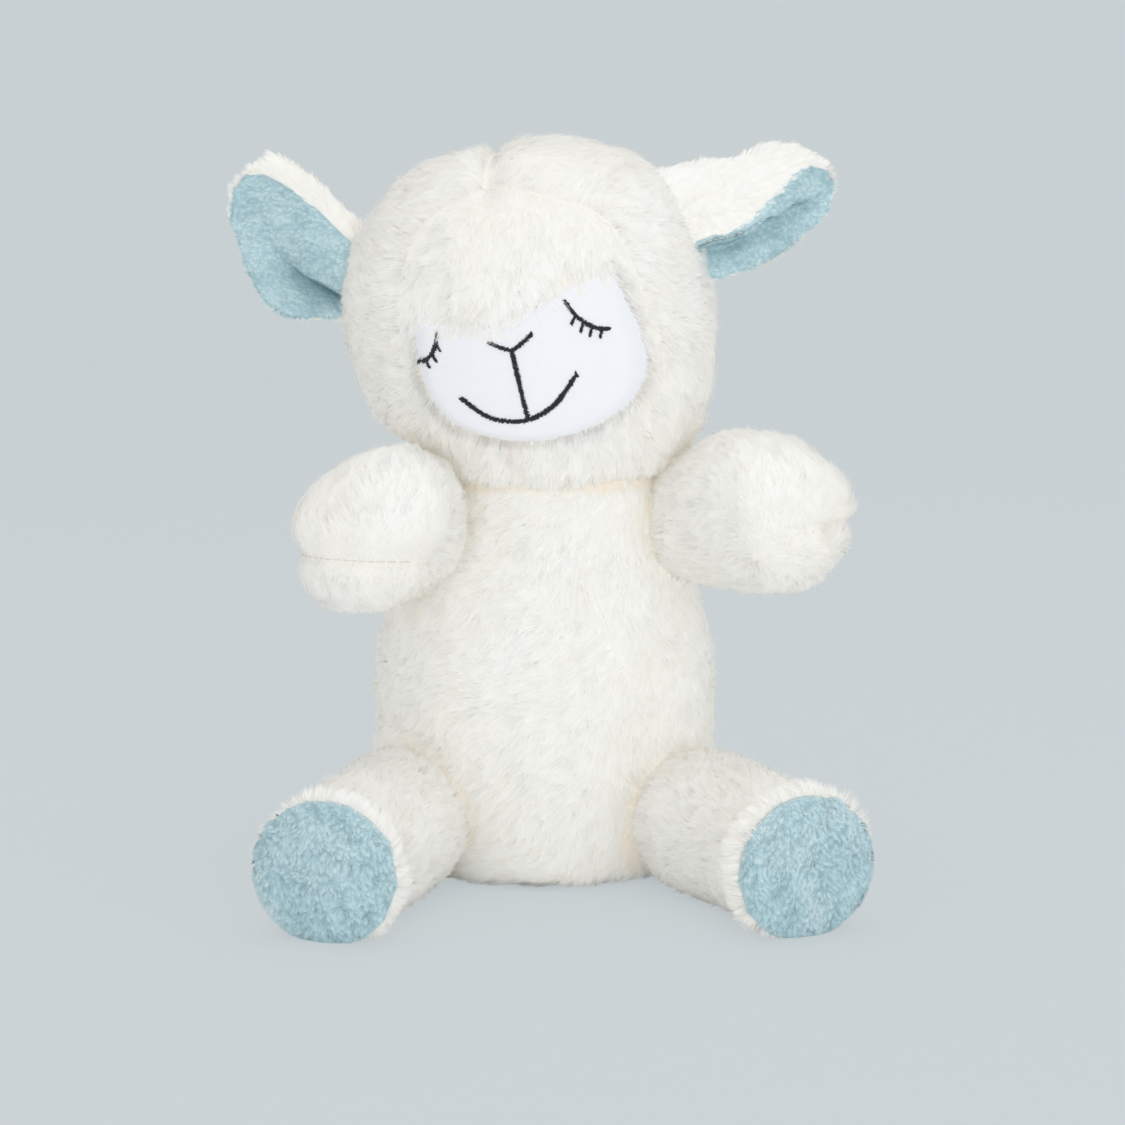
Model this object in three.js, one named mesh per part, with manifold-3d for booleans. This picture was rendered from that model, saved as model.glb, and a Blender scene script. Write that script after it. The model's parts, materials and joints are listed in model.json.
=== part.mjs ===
// A seated plush lamb about 290 mm tall: fur covers over stuffing, a short-pile face with a stitched
// sleeping expression, two lined ears, two mitten arms and two legs with round sole pads.
// Millimetres. X runs to the viewer's right, Y away from the viewer, Z up.
// The origin is the middle of the flat seat, on the surface the toy sits on.
import * as THREE from "three";
import { mergeVertices } from "three/addons/utils/BufferGeometryUtils.js";
import Module from "manifold-3d";

const wasm = await Module();
wasm.setup();

// General sizes
const seamGap = 0.3; // between two pieces sewn or pressed together
const swingGap = 0.95; // round a ball root, so that it turns freely in its hollow
const coverWall = 3; // fur fabric with its pile pressed flat
const liningWall = 2.6; // short plush of the ear linings and soles
const overrun = 4; // how far a cutter runs past what it cuts
const weldSize = 0.0001;
const flatDepth = 0.5; // how deep a form is pressed flat where it stands
const fullTurn = Math.PI * 2;
const degree = Math.PI / 180;

// Torso
const torso = {
  height: 176,
  halfWidth: 69,
  halfDepth: 57,
  // height, width and depth, from the seat to the pole that the neck dome covers
  outlineShares: [
    [0, 0, 0],
    [0.003, 0.5, 0.52],
    [0.012, 0.78, 0.8],
    [0.07, 0.92, 0.92],
    [0.2, 0.985, 0.98],
    [0.36, 1, 1],
    [0.5, 0.985, 0.99],
    [0.62, 0.91, 0.95],
    [0.72, 0.82, 0.92],
    [0.79, 0.76, 0.89],
    [0.84, 0.64, 0.76],
    [0.89, 0.4, 0.5],
    [0.95, 0.2, 0.25],
    [1, 0, 0],
  ],
  rings: 11,
  sides: 22,
  coreRings: 6,
  coreSides: 12,
};

// Neck: a dome on the torso, which the head's hollow sits over, both round one centre
const neck = {
  centre: new THREE.Vector3(3, -3, 150),
  domeRadius: 49.5,
  sides: 20,
  openingAngle: 54 * degree,
  wadAngle: 40 * degree,
  throatAngle: 53 * degree,
  wadThickness: 5,
  nods: [-8 * degree, 6 * degree],
  tilts: [-6 * degree, 6 * degree],
};

// Head, upright and facing forward before it is turned and leaned
const head = {
  bottom: 152,
  height: 139.5,
  halfWidth: 73,
  halfDepth: 62.5,
  centreX: 3,
  centreY: -8,
  outlineShares: [
    [0, 0, 0],
    [0.02, 0.5, 0.56],
    [0.058, 0.67, 0.77],
    [0.115, 0.735, 0.83],
    [0.175, 0.82, 0.89],
    [0.26, 0.905, 0.955],
    [0.4, 0.98, 0.995],
    [0.54, 1, 1],
    [0.69, 0.975, 0.97],
    [0.83, 0.83, 0.84],
    [0.94, 0.53, 0.54],
    [0.985, 0.26, 0.27],
    [1, 0, 0],
  ],
  rings: 12,
  sides: 24,
  coreRings: 6,
  coreSides: 12,
  turn: -7.5 * degree, // towards the viewer's left
  lean: 11.2 * degree, // crown towards the viewer's left
  leanHeight: 180,
  leanStart: 158,
  leanEnd: 198,
};

// Face gusset: a rounded panel let into the front of the head, fur above and short pile below
const face = {
  halfWidth: 46,
  halfHeight: 46,
  centreHeight: 224,
  panelTop: 226,
  panelTopRise: 9,
  squareShare: 0.85,
  outlinePoints: 28,
  seamPoints: 10,
  settleSteps: 6,
};

// Stitched features, as places across and up the upright head
const thread = { width: 1.9, thickness: 1, sides: 6, lift: 0.35, lashWidth: 1.3 };
const eye = {
  inner: 23,
  outer: 37,
  innerHeight: 229,
  outerHeight: 216,
  sag: 3.2,
  steps: 5,
  lashShares: [0.3, 0.5, 0.68, 0.84],
  lashAcross: -2,
  lashDown: -3.4,
  lashSteps: 1,
};
const nose = { height: 215.5, armWidth: 8.4, armRise: 4.6, steps: 3 };
const mouth = { height: 188.6, halfWidth: 22.5, cornerRise: 12.6, steps: 12 };

// Ears: a leaf of fur with a short-pile lining, pinched along a round root
const ear = {
  length: 56,
  halfWidth: 30,
  rootRadius: 4.4,
  rootHalfLength: 16,
  rootSides: 12,
  rootLift: 1.2, // of the root's middle line off the head
  rootStart: 3.4, // from the root's middle line to the leaf
  furThickness: 4.4,
  // along the ear: height, width, and how far it folds round
  outlineShares: [
    [0, 0.72, 1],
    [0.2, 0.86, 0.92],
    [0.45, 0.98, 0.75],
    [0.65, 1, 0.6],
    [0.84, 0.82, 0.5],
    [0.95, 0.5, 0.45],
    [1, 0.2, 0.4],
  ],
  rows: 7,
  columns: 6,
  edgeShare: 0.42,
  liningStart: 0.1,
  liningEnd: 0.95,
  liningWidthShare: 0.86,
};
const earPlaces = {
  left: {
    across: -1,
    height: 252,
    fold: 66 * degree,
    along: new THREE.Vector3(-0.76, -0.32, 0.57),
    facing: new THREE.Vector3(-0.18, -0.97, -0.05),
    swings: [0, 20 * degree, -20 * degree],
  },
  right: {
    across: 1,
    height: 251,
    fold: 78 * degree,
    along: new THREE.Vector3(0.96, -0.12, 0.22),
    facing: new THREE.Vector3(0.1, -0.72, -0.66),
    swings: [0, 20 * degree, -20 * degree],
  },
};

// Arms: a ball root, then a mitten with a closing seam across its end
const arm = {
  rootRadius: 23,
  rootSides: 16,
  height: 74,
  halfWidth: 31,
  halfDepth: 29.5,
  outlineShares: [
    [0, 0, 0],
    [0.02, 0.3, 0.3],
    [0.1, 0.66, 0.68],
    [0.3, 0.86, 0.88],
    [0.55, 1, 1],
    [0.75, 0.97, 0.97],
    [0.9, 0.75, 0.75],
    [0.97, 0.42, 0.42],
    [1, 0, 0],
  ],
  rings: 8,
  sides: 14,
  coreRings: 4,
  coreSides: 8,
  openingRadius: 11,
  cleftStart: 34,
  cleftHeight: -8,
  cleftDepth: 4,
  cleftWidth: 5,
  stitchRadius: 0.5,
  stitchSpan: 50 * degree,
  stitchSteps: 8,
};
const armPlaces = {
  left: {
    pivot: new THREE.Vector3(-49, -19, 138),
    along: new THREE.Vector3(-0.38, -0.92, 0.09),
    swings: [-45 * degree, 0, 5 * degree],
  },
  right: {
    pivot: new THREE.Vector3(57, -19, 138),
    along: new THREE.Vector3(0.69, -0.69, 0.22),
    swings: [-20 * degree, -10 * degree, 0, 20 * degree],
  },
};

// Legs: a ball root, then a tube that ends in a domed sole pad
const leg = {
  rootRadius: 28,
  rootSides: 18,
  length: 94,
  soleDepth: 9, // how far the domed sole stands out beyond the cover
  halfWidth: 31,
  halfDepth: 31,
  outlineShares: [
    [0, 0, 0],
    [0.02, 0.4, 0.4],
    [0.08, 0.8, 0.8],
    [0.25, 0.98, 0.98],
    [0.5, 0.95, 0.95],
    [0.75, 0.92, 0.92],
    [0.88, 0.91, 0.91],
    [0.93, 0.84, 0.84],
    [0.97, 0.62, 0.62],
    [1, 0, 0],
  ],
  rings: 8,
  sides: 16,
  coreRings: 4,
  coreSides: 8,
  openingRadius: 12,
};
leg.height = leg.length + leg.soleDepth;
const legPivot = leg.rootRadius - flatDepth;
const legPlaces = {
  left: {
    pivot: new THREE.Vector3(-53, -33, legPivot),
    along: new THREE.Vector3(-0.3, -0.95, -0.015),
    swings: [-25 * degree, 0, 12 * degree, 24 * degree, 35 * degree],
  },
  right: {
    pivot: new THREE.Vector3(55, -31, legPivot),
    along: new THREE.Vector3(0.46, -0.89, -0.015),
    swings: [-25 * degree, 0, 12 * degree, 24 * degree, 35 * degree],
  },
};

// Pouch of pellets that weighs the seat down
const pouch = { centreY: 8, halfWidth: 33, halfDepth: 27, height: 26, sides: 16, rings: 8 };

// Colours
const colours = {
  fur: 0xf1eee4,
  facePile: 0xf3f4f8,
  blue: 0xa3c5cd,
  thread: 0x24242b,
  whiteThread: 0xf4f2ec,
  stuffing: 0xf6f6f4,
  cotton: 0xe6dfcf,
};

const up = new THREE.Vector3(0, 0, 1);

// A geometry as a solid that can be joined and cut.
function solidOf(geometry) {
  const bare = new THREE.BufferGeometry();
  bare.setAttribute("position", geometry.getAttribute("position"));
  if (geometry.index) bare.setIndex(geometry.index);
  const merged = mergeVertices(bare, weldSize);
  return new wasm.Manifold(
    new wasm.Mesh({
      numProp: 3,
      vertProperties: merged.getAttribute("position").array,
      triVerts: Uint32Array.from(merged.index.array),
    }),
  );
}

// A solid as a geometry that can be drawn.
function geometryOf(solid) {
  const mesh = solid.getMesh();
  const stride = mesh.numProp;
  const places = new Float32Array(mesh.numVert * 3);
  for (let i = 0; i < mesh.numVert; i++) {
    places.set(mesh.vertProperties.subarray(i * stride, i * stride + 3), i * 3);
  }
  const geometry = new THREE.BufferGeometry();
  geometry.setAttribute("position", new THREE.BufferAttribute(places, 3));
  geometry.setIndex(new THREE.BufferAttribute(Uint32Array.from(mesh.triVerts), 1));
  geometry.computeVertexNormals();
  return geometry;
}

function moved(solid, matrix) {
  return solid.transform(matrix.elements);
}

function ball(centre, radius, sides) {
  const geometry = new THREE.SphereGeometry(radius, sides, sides / 2);
  return solidOf(geometry.rotateX(fullTurn / 4).translate(centre.x, centre.y, centre.z));
}

function block(low, high) {
  const size = high.clone().sub(low);
  const middle = high.clone().add(low).divideScalar(2);
  const geometry = new THREE.BoxGeometry(size.x, size.y, size.z);
  return solidOf(geometry.translate(middle.x, middle.y, middle.z));
}

// A round bar along +Z from one height to another.
function bar(radius, from, to, sides) {
  const geometry = new THREE.CylinderGeometry(radius, radius, to - from, sides);
  return solidOf(geometry.rotateX(fullTurn / 4).translate(0, 0, (from + to) / 2));
}

// The smooth outline of a stuffed form: a curve through [height, width, depth] shares.
function outlineOf(form) {
  return new THREE.CatmullRomCurve3(
    form.outlineShares.map(([high, wide, deep]) => new THREE.Vector3(wide, deep, high)),
    false,
    "centripetal",
  );
}

// A stuffed form along +Z: rings that swell and taper between two poles, drawn in by an inset.
function stuffedForm(form, inset = 0, rings = form.rings, sides = form.sides) {
  const outline = outlineOf(form).getSpacedPoints(rings);
  const height = form.height - inset * 2;
  const places = [];
  outline.forEach((point, ring) => {
    const high = inset + point.z * height;
    if (ring === 0 || ring === rings) {
      places.push(0, 0, high);
      return;
    }
    for (let side = 0; side < sides; side++) {
      const angle = (side / sides) * fullTurn;
      places.push(Math.cos(angle) * point.x * (form.halfWidth - inset));
      places.push(Math.sin(angle) * point.y * (form.halfDepth - inset), high);
    }
  });
  const last = places.length / 3 - 1;
  const faces = [];
  for (let side = 0; side < sides; side++) {
    const next = (side + 1) % sides;
    faces.push(0, 1 + next, 1 + side);
    for (let ring = 0; ring < rings - 2; ring++) {
      const low = 1 + ring * sides;
      const high = low + sides;
      faces.push(low + side, low + next, high + next, low + side, high + next, high + side);
    }
    const top = 1 + (rings - 2) * sides;
    faces.push(top + side, top + next, last);
  }
  const geometry = new THREE.BufferGeometry();
  geometry.setAttribute("position", new THREE.Float32BufferAttribute(places, 3));
  geometry.setIndex(faces);
  return geometry;
}

// A tube of an oval section along a curve, as one closed solid.
function cordAlong(curve, width, thickness, steps) {
  const section = new THREE.Shape();
  for (let i = 0; i < thread.sides; i++) {
    const angle = (i / thread.sides) * fullTurn;
    const x = (Math.cos(angle) * thickness) / 2;
    const y = (Math.sin(angle) * width) / 2;
    if (i === 0) section.moveTo(x, y);
    else section.lineTo(x, y);
  }
  section.closePath();
  return solidOf(new THREE.ExtrudeGeometry(section, { steps, extrudePath: curve }));
}

// Everything below the standing surface, for pressing forms flat.
const ground = block(
  new THREE.Vector3(-torso.height * 2, -torso.height * 2, -torso.height),
  new THREE.Vector3(torso.height * 2, torso.height * 2, 0),
);

// Balls round the neck's centre, and the part of one that lies within an angle of straight up
const neckBall = (radius) => ball(neck.centre, radius, neck.sides);
function coneAbove(angle, radius) {
  const geometry = new THREE.ConeGeometry(radius * Math.tan(angle), radius, neck.sides);
  geometry.rotateX(-fullTurn / 4).translate(0, 0, radius / 2);
  geometry.translate(neck.centre.x, neck.centre.y, neck.centre.z);
  return solidOf(geometry).intersect(neckBall(radius));
}

// Where a ray from a place inside a form leaves it.
function leaves(form, inset, from, direction) {
  const outline = outlineOf(form).getPoints(form.rings * 8);
  const height = form.height - inset * 2;
  const inside = (place) => {
    const share = (place.z - inset) / height;
    const above = outline.findIndex((point) => point.z >= share);
    if (share <= 0 || above < 1) return false;
    const low = outline[above - 1];
    const part = (share - low.z) / (outline[above].z - low.z);
    const ring = low.clone().lerp(outline[above], part);
    const across = place.x / (ring.x * (form.halfWidth - inset));
    const deep = place.y / (ring.y * (form.halfDepth - inset));
    return across * across + deep * deep < 1;
  };
  let near = 0;
  let far = form.height;
  while (far - near > weldSize) {
    const middle = (near + far) / 2;
    if (inside(from.clone().addScaledVector(direction, middle))) near = middle;
    else far = middle;
  }
  return from.clone().addScaledVector(direction, near);
}

// The upright head's place on the toy: turned about its axis, then leaned more and more up the neck.
function leaned(place) {
  const turned = place.clone().applyAxisAngle(up, head.turn);
  const part = THREE.MathUtils.smoothstep(place.z, head.leanStart, head.leanEnd);
  const angle = head.lean * part;
  const high = turned.z - head.leanHeight;
  return new THREE.Vector3(
    head.centreX + turned.x * Math.cos(angle) - high * Math.sin(angle),
    head.centreY + turned.y,
    head.leanHeight + turned.x * Math.sin(angle) + high * Math.cos(angle),
  );
}

function leanedSolid(geometry) {
  const places = geometry.getAttribute("position");
  const place = new THREE.Vector3();
  for (let i = 0; i < places.count; i++) {
    const to = leaned(place.fromBufferAttribute(places, i));
    places.setXYZ(i, to.x, to.y, to.z);
  }
  return solidOf(geometry);
}

// A frame whose Z runs along a limb and whose Y is as near as can be to a given direction.
function frameAlong(origin, along, near) {
  const z = along.clone().normalize();
  const y = near.clone().addScaledVector(z, -near.dot(z)).normalize();
  const x = y.clone().cross(z);
  return new THREE.Matrix4().makeBasis(x, y, z).setPosition(origin);
}

const below = (level) => ground.translate([0, 0, level]);
const wallAndGap = coverWall + seamGap;

// Torso: hollowed where each limb's ball root sits
const limbRoots = [
  ...Object.values(armPlaces).map(({ pivot }) => ({ pivot, ...arm })),
  ...Object.values(legPlaces).map(({ pivot }) => ({ pivot, ...leg })),
];
function torsoSwell(inset, rings, sides) {
  return solidOf(stuffedForm(torso, inset, rings, sides).translate(0, 0, -flatDepth));
}

function torsoForm(inset, rings, sides) {
  let form = torsoSwell(inset, rings, sides)
    .add(neckBall(neck.domeRadius - inset))
    .subtract(below(inset));
  for (const { pivot, rootRadius, rootSides } of limbRoots) {
    form = form.subtract(ball(pivot, rootRadius + swingGap + inset, rootSides));
  }
  return form;
}

// The round root of the stuffing in the neck, free to nod under the head
const wadBed = neck.domeRadius - neck.wadThickness - swingGap;

function torsoPieces() {
  const opening = coneAbove(neck.openingAngle, neck.domeRadius + overrun);
  const cover = torsoForm(0, torso.rings, torso.sides)
    .subtract(torsoForm(coverWall, torso.coreRings, torso.coreSides))
    .subtract(opening);
  const stuffing = torsoForm(wallAndGap, torso.coreRings, torso.coreSides)
    .subtract(opening.subtract(neckBall(wadBed)))
    .subtract(pouchForm(seamGap));
  const wad = coneAbove(neck.wadAngle, neck.domeRadius)
    .subtract(neckBall(neck.domeRadius - neck.wadThickness));
  return { cover, stuffing, wad };
}

// The pouch, grown by a gap where it is the room for itself.
function pouchForm(gap) {
  const geometry = new THREE.SphereGeometry(1, pouch.sides, pouch.rings);
  geometry.rotateX(fullTurn / 4);
  geometry.scale(pouch.halfWidth + gap, pouch.halfDepth + gap, pouch.height / 2 + gap);
  return solidOf(geometry.translate(0, pouch.centreY, wallAndGap + pouch.height / 2));
}

// Head and its panels
function headForm(inset, rings = head.rings, sides = head.sides) {
  const geometry = stuffedForm(head, inset, rings, sides).translate(0, 0, head.bottom);
  return leanedSolid(geometry);
}

// A prism from front to back through the upright head, leaned with it.
function headPrism(points) {
  const shape = new THREE.Shape(points);
  const deep = head.halfDepth + overrun;
  const geometry = new THREE.ExtrudeGeometry(shape, { depth: deep, bevelEnabled: false });
  return leanedSolid(geometry.rotateX(fullTurn / 4));
}

function gussetPoints(gap) {
  const points = [];
  for (let i = 0; i < face.outlinePoints; i++) {
    const angle = (i / face.outlinePoints) * fullTurn;
    const rounding = (value) => Math.sign(value) * Math.abs(value) ** face.squareShare;
    const across = rounding(Math.cos(angle)) * (face.halfWidth + gap);
    const high = rounding(Math.sin(angle)) * (face.halfHeight + gap);
    points.push(new THREE.Vector2(across, face.centreHeight + high));
  }
  return points;
}

// The outline below the seam between the forehead fur and the face.
function lowerPoints(gap) {
  const points = [];
  const reach = face.halfWidth + overrun;
  for (let i = 0; i <= face.seamPoints; i++) {
    const across = reach * (1 - (2 * i) / face.seamPoints);
    const rise = (across / reach) ** 2 * face.panelTopRise;
    points.push(new THREE.Vector2(across, face.panelTop + rise + gap));
  }
  const bottom = face.centreHeight - face.halfHeight - overrun;
  points.push(new THREE.Vector2(-reach, bottom), new THREE.Vector2(reach, bottom));
  return points;
}

function headPieces() {
  const socket = (wall) => neckBall(neck.domeRadius + swingGap + wall);
  const beyondSocket = neck.domeRadius + swingGap + wallAndGap;
  const inner = headForm(coverWall, head.coreRings, head.coreSides).subtract(socket(coverWall));
  let cover = headForm(0)
    .subtract(socket(0))
    .subtract(inner)
    .subtract(coneAbove(neck.openingAngle, beyondSocket));
  for (const place of Object.values(earPlaces)) {
    cover = cover.subtract(moved(earRoot(swingGap), earFrame(place)));
  }
  const gusset = headPrism(gussetPoints(0)).subtract(socket(wallAndGap));
  const gussetRoom = headPrism(gussetPoints(seamGap)).subtract(socket(coverWall));
  const facePanel = cover.intersect(gusset).intersect(headPrism(lowerPoints(0)));
  const forelock = cover.intersect(gusset).subtract(headPrism(lowerPoints(seamGap)));
  cover = cover.subtract(gussetRoom);
  const coarse = headForm(wallAndGap, head.coreRings, head.coreSides);
  const throat = coarse
    .intersect(coneAbove(neck.throatAngle, beyondSocket + overrun))
    .subtract(socket(0));
  let stuffing = coarse.subtract(socket(wallAndGap)).add(throat);
  for (const place of Object.values(earPlaces)) {
    stuffing = stuffing.subtract(moved(earRoot(wallAndGap), earFrame(place)));
  }
  return { cover, facePanel, forelock, stuffing };
}

// A place on the front of the upright head, lifted off it, as it is on the toy.
function onFace(across, high, lift) {
  const from = new THREE.Vector3(0, 0, high - head.bottom);
  const direction = new THREE.Vector3(across, -head.halfDepth, 0).normalize();
  let place = from;
  for (let i = 0; i < face.settleSteps; i++) {
    place = leaves(head, -lift, from, direction);
    direction.x *= place.x === 0 ? 1 : across / place.x;
    direction.normalize();
  }
  return leaned(place.setZ(high));
}

function stitchedLine(points, width, steps) {
  const curve = new THREE.CatmullRomCurve3(
    points.map(([across, high]) => onFace(across, high, thread.lift + thread.thickness / 2)),
  );
  return cordAlong(curve, width, thread.thickness, steps);
}

// A closed eye: a lid line that sags between its ends, with lashes below it.
function eyeSolid(side) {
  const lid = (share) => {
    const across = THREE.MathUtils.lerp(eye.inner, eye.outer, share);
    const chord = THREE.MathUtils.lerp(eye.innerHeight, eye.outerHeight, share);
    return [side * across, chord - Math.sin(share * Math.PI) * eye.sag];
  };
  const lidShares = [0, 0.25, 0.5, 0.75, 1];
  let solid = stitchedLine(lidShares.map(lid), thread.width, eye.steps);
  for (const share of eye.lashShares) {
    const [across, high] = lid(share);
    const tip = [across + side * eye.lashAcross, high + eye.lashDown];
    solid = solid.add(stitchedLine([[across, high], tip], thread.lashWidth, eye.lashSteps));
  }
  return solid;
}

function noseSolid() {
  const top = [0, nose.height];
  let solid = stitchedLine([top, [0, mouth.height + thread.width]], thread.width, nose.steps);
  for (const side of [-1, 1]) {
    const end = [side * nose.armWidth, nose.height + nose.armRise];
    solid = solid.add(stitchedLine([top, end], thread.width, nose.steps));
  }
  return solid;
}

function mouthSolid() {
  const points = [];
  for (let i = 0; i <= mouth.steps; i++) {
    const share = (2 * i) / mouth.steps - 1;
    points.push([share * mouth.halfWidth, mouth.height + share ** 2 * mouth.cornerRise]);
  }
  return stitchedLine(points, thread.width, mouth.steps);
}

// A piece in its own frame, cut clear of a room in the toy's frame at each angle that it swings to.
function clearOf(piece, room, { frame, pivot, axis, swings }) {
  let clear = piece;
  for (const swing of swings) {
    const swung = frame.clone().invert();
    swung.multiply(new THREE.Matrix4().setPosition(pivot));
    swung.multiply(new THREE.Matrix4().makeRotationAxis(axis, -swing));
    swung.multiply(new THREE.Matrix4().setPosition(pivot).invert());
    clear = clear.subtract(moved(room, swung));
  }
  return clear;
}

// Ears
function earFrame({ across, height, along, facing }) {
  const from = new THREE.Vector3(0, 0, height - head.bottom);
  const root = leaves(head, -ear.rootLift, from, new THREE.Vector3(across, 0, 0));
  return frameAlong(leaned(root.setZ(height)), along, facing.clone().negate());
}

function earRoot(gap) {
  const half = ear.rootHalfLength + gap;
  const root = bar(ear.rootRadius + gap, -half, half, ear.rootSides);
  return moved(root, new THREE.Matrix4().makeRotationY(fullTurn / 4));
}

// A folded leaf between two lifts off its middle surface, from one share of its length to another.
function earLeaf(fold, from, to, widthShare, lowLift, highLift) {
  const outline = new THREE.CatmullRomCurve3(
    ear.outlineShares.map(([high, wide, folded]) => new THREE.Vector3(wide, folded, high)),
  ).getPoints(ear.rows * 8);
  const ringAt = (share) => outline.find((point) => point.z >= share) ?? outline.at(-1);
  const places = [];
  for (let row = 0; row <= ear.rows; row++) {
    const share = from + ((to - from) * row) / ear.rows;
    const ring = ringAt(share);
    const angle = fold * ring.y;
    const radius = (ring.x * ear.halfWidth) / angle;
    const loop = [];
    for (let column = 0; column <= ear.columns; column++) {
      const across = (2 * column) / ear.columns - 1;
      const thick = THREE.MathUtils.lerp(ear.edgeShare, 1, Math.sqrt(1 - across ** 2));
      const turn = across * angle * widthShare;
      const at = (lift) => [
        Math.sin(turn) * (radius + lift),
        Math.cos(turn) * (radius + lift) - radius,
        ear.rootStart + share * ear.length,
      ];
      const middle = (lowLift + highLift) / 2;
      loop.push([at(middle + (lowLift - middle) * thick), at(middle + (highLift - middle) * thick)]);
    }
    const around = [...loop.map(([low]) => low), ...loop.map(([, high]) => high).reverse()];
    places.push(...around);
  }
  const sides = (ear.columns + 1) * 2;
  const faces = [];
  for (let row = 0; row < ear.rows; row++) {
    for (let side = 0; side < sides; side++) {
      const a = row * sides + side;
      const b = row * sides + ((side + 1) % sides);
      faces.push(a, b, b + sides, a, b + sides, a + sides);
    }
  }
  const lastRow = ear.rows * sides;
  for (let side = 0; side < ear.columns; side++) {
    const [a, b, c, d] = [side, side + 1, sides - 2 - side, sides - 1 - side];
    faces.push(a, c, b, a, d, c);
    faces.push(lastRow + a, lastRow + b, lastRow + c, lastRow + a, lastRow + c, lastRow + d);
  }
  const geometry = new THREE.BufferGeometry();
  geometry.setAttribute("position", new THREE.Float32BufferAttribute(places.flat(), 3));
  geometry.setIndex(faces);
  return solidOf(geometry);
}

function earPieces(place) {
  const { fold } = place;
  const room = headForm(-swingGap);
  const leaf = earLeaf(fold, 0, 1, 1, 0, ear.furThickness);
  const fur = clearOf(leaf, room, place).add(earRoot(0));
  const liningLeaf = earLeaf(
    fold,
    ear.liningStart,
    ear.liningEnd,
    ear.liningWidthShare,
    -seamGap - liningWall,
    -seamGap,
  );
  return { fur, lining: clearOf(liningLeaf, room, place) };
}

// The torso and its neck dome, grown by the room that a limb's inner form keeps from them
function torsoRoom(inset) {
  return torsoSwell(-swingGap - inset).add(neckBall(neck.domeRadius + swingGap + inset));
}

// The head at the ends of its nod and tilt, grown in the same way
function headRoom(inset) {
  const form = headForm(-swingGap - inset);
  let room = form;
  for (const nod of neck.nods) {
    for (const tilt of neck.tilts) {
      const about = new THREE.Matrix4().setPosition(neck.centre);
      about.multiply(new THREE.Matrix4().makeRotationX(nod));
      about.multiply(new THREE.Matrix4().makeRotationY(tilt));
      about.multiply(new THREE.Matrix4().setPosition(neck.centre).invert());
      room = room.add(moved(form, about));
    }
  }
  return room;
}

// Limbs: pieces in the limb's own frame, cut by the torso at the angles that they swing through
function limbForm(form, place, inset, rings, sides) {
  const body = solidOf(stuffedForm(form, inset, rings, sides));
  const root = ball(new THREE.Vector3(), form.rootRadius - inset, form.rootSides);
  return clearOf(body, torsoRoom(inset), place).add(root);
}

function rootHole(form, gap) {
  return bar(form.openingRadius - gap, -form.rootRadius - overrun, 0, form.sides);
}

// The groove of the mitten's closing seam, cut a depth into the end of the arm.
function cleft(depth, extra) {
  const half = arm.cleftWidth / 2 + extra;
  const slab = block(
    new THREE.Vector3(-arm.halfWidth * 2, arm.cleftHeight - half, arm.cleftStart - extra),
    new THREE.Vector3(arm.halfWidth * 2, arm.cleftHeight + half, arm.height + overrun),
  );
  return slab.subtract(solidOf(stuffedForm(arm, depth)));
}

function armPieces(place) {
  const form = (inset, rings, sides) => {
    const limb = limbForm(arm, place, inset, rings, sides);
    return clearOf(limb, headRoom(inset), place).subtract(cleft(arm.cleftDepth + inset, inset));
  };
  const cover = form(0, arm.rings, arm.sides)
    .subtract(form(coverWall, arm.coreRings, arm.coreSides))
    .subtract(rootHole(arm, 0));
  const plug = ball(new THREE.Vector3(), arm.rootRadius, arm.rootSides);
  const stuffing = form(wallAndGap, arm.coreRings, arm.coreSides)
    .add(plug.intersect(rootHole(arm, seamGap)));
  const from = new THREE.Vector3(0, arm.cleftHeight, arm.height / 2);
  const points = [];
  for (let i = 0; i <= arm.stitchSteps; i++) {
    const angle = arm.stitchSpan * ((2 * i) / arm.stitchSteps - 1);
    const direction = new THREE.Vector3(Math.sin(angle), 0, Math.cos(angle));
    points.push(leaves(arm, arm.cleftDepth - seamGap - arm.stitchRadius, from, direction));
  }
  const curve = new THREE.CatmullRomCurve3(points);
  const wide = arm.stitchRadius * 2;
  return { cover, stuffing, stitch: cordAlong(curve, wide, wide, arm.stitchSteps) };
}

function legPieces(place) {
  const floor = (level) => moved(below(level), place.frame.clone().invert());
  const wide = leg.halfWidth * 2;
  const beyond = (from) => {
    const low = new THREE.Vector3(-wide, -wide, from);
    return block(low, new THREE.Vector3(wide, wide, leg.height + overrun));
  };
  const outer = limbForm(leg, place, 0).subtract(floor(0));
  const inner = (inset) => {
    return limbForm(leg, place, inset, leg.coreRings, leg.coreSides).subtract(floor(inset));
  };
  const shell = outer.subtract(inner(coverWall));
  const cover = shell.subtract(beyond(leg.length)).subtract(rootHole(leg, 0));
  const sole = shell.intersect(beyond(leg.length + seamGap));
  const plug = ball(new THREE.Vector3(), leg.rootRadius, leg.rootSides);
  const stuffing = inner(wallAndGap).add(plug.intersect(rootHole(leg, seamGap)));
  return { cover, sole, stuffing };
}

// Assembly
const materials = Object.fromEntries(
  Object.entries(colours).map(([name, color]) => [
    name,
    new THREE.MeshStandardMaterial({ name, color, roughness: name === "thread" ? 0.6 : 0.95 }),
  ]),
);

const lamb = new THREE.Group();
lamb.name = "lamb";

function groupAt(matrix) {
  const group = new THREE.Group();
  matrix.decompose(group.position, group.quaternion, group.scale);
  lamb.add(group);
  return group;
}

// Puts a solid that is given in the group's own frame into that group as a named piece.
function addPiece(group, name, solid, material) {
  const mesh = new THREE.Mesh(geometryOf(solid), materials[material]);
  mesh.name = name;
  group.add(mesh);
}

// The same for a solid given where it is on the toy.
function addPlaced(group, name, solid, material) {
  group.updateMatrix();
  addPiece(group, name, moved(solid, group.matrix.clone().invert()), material);
}

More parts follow.
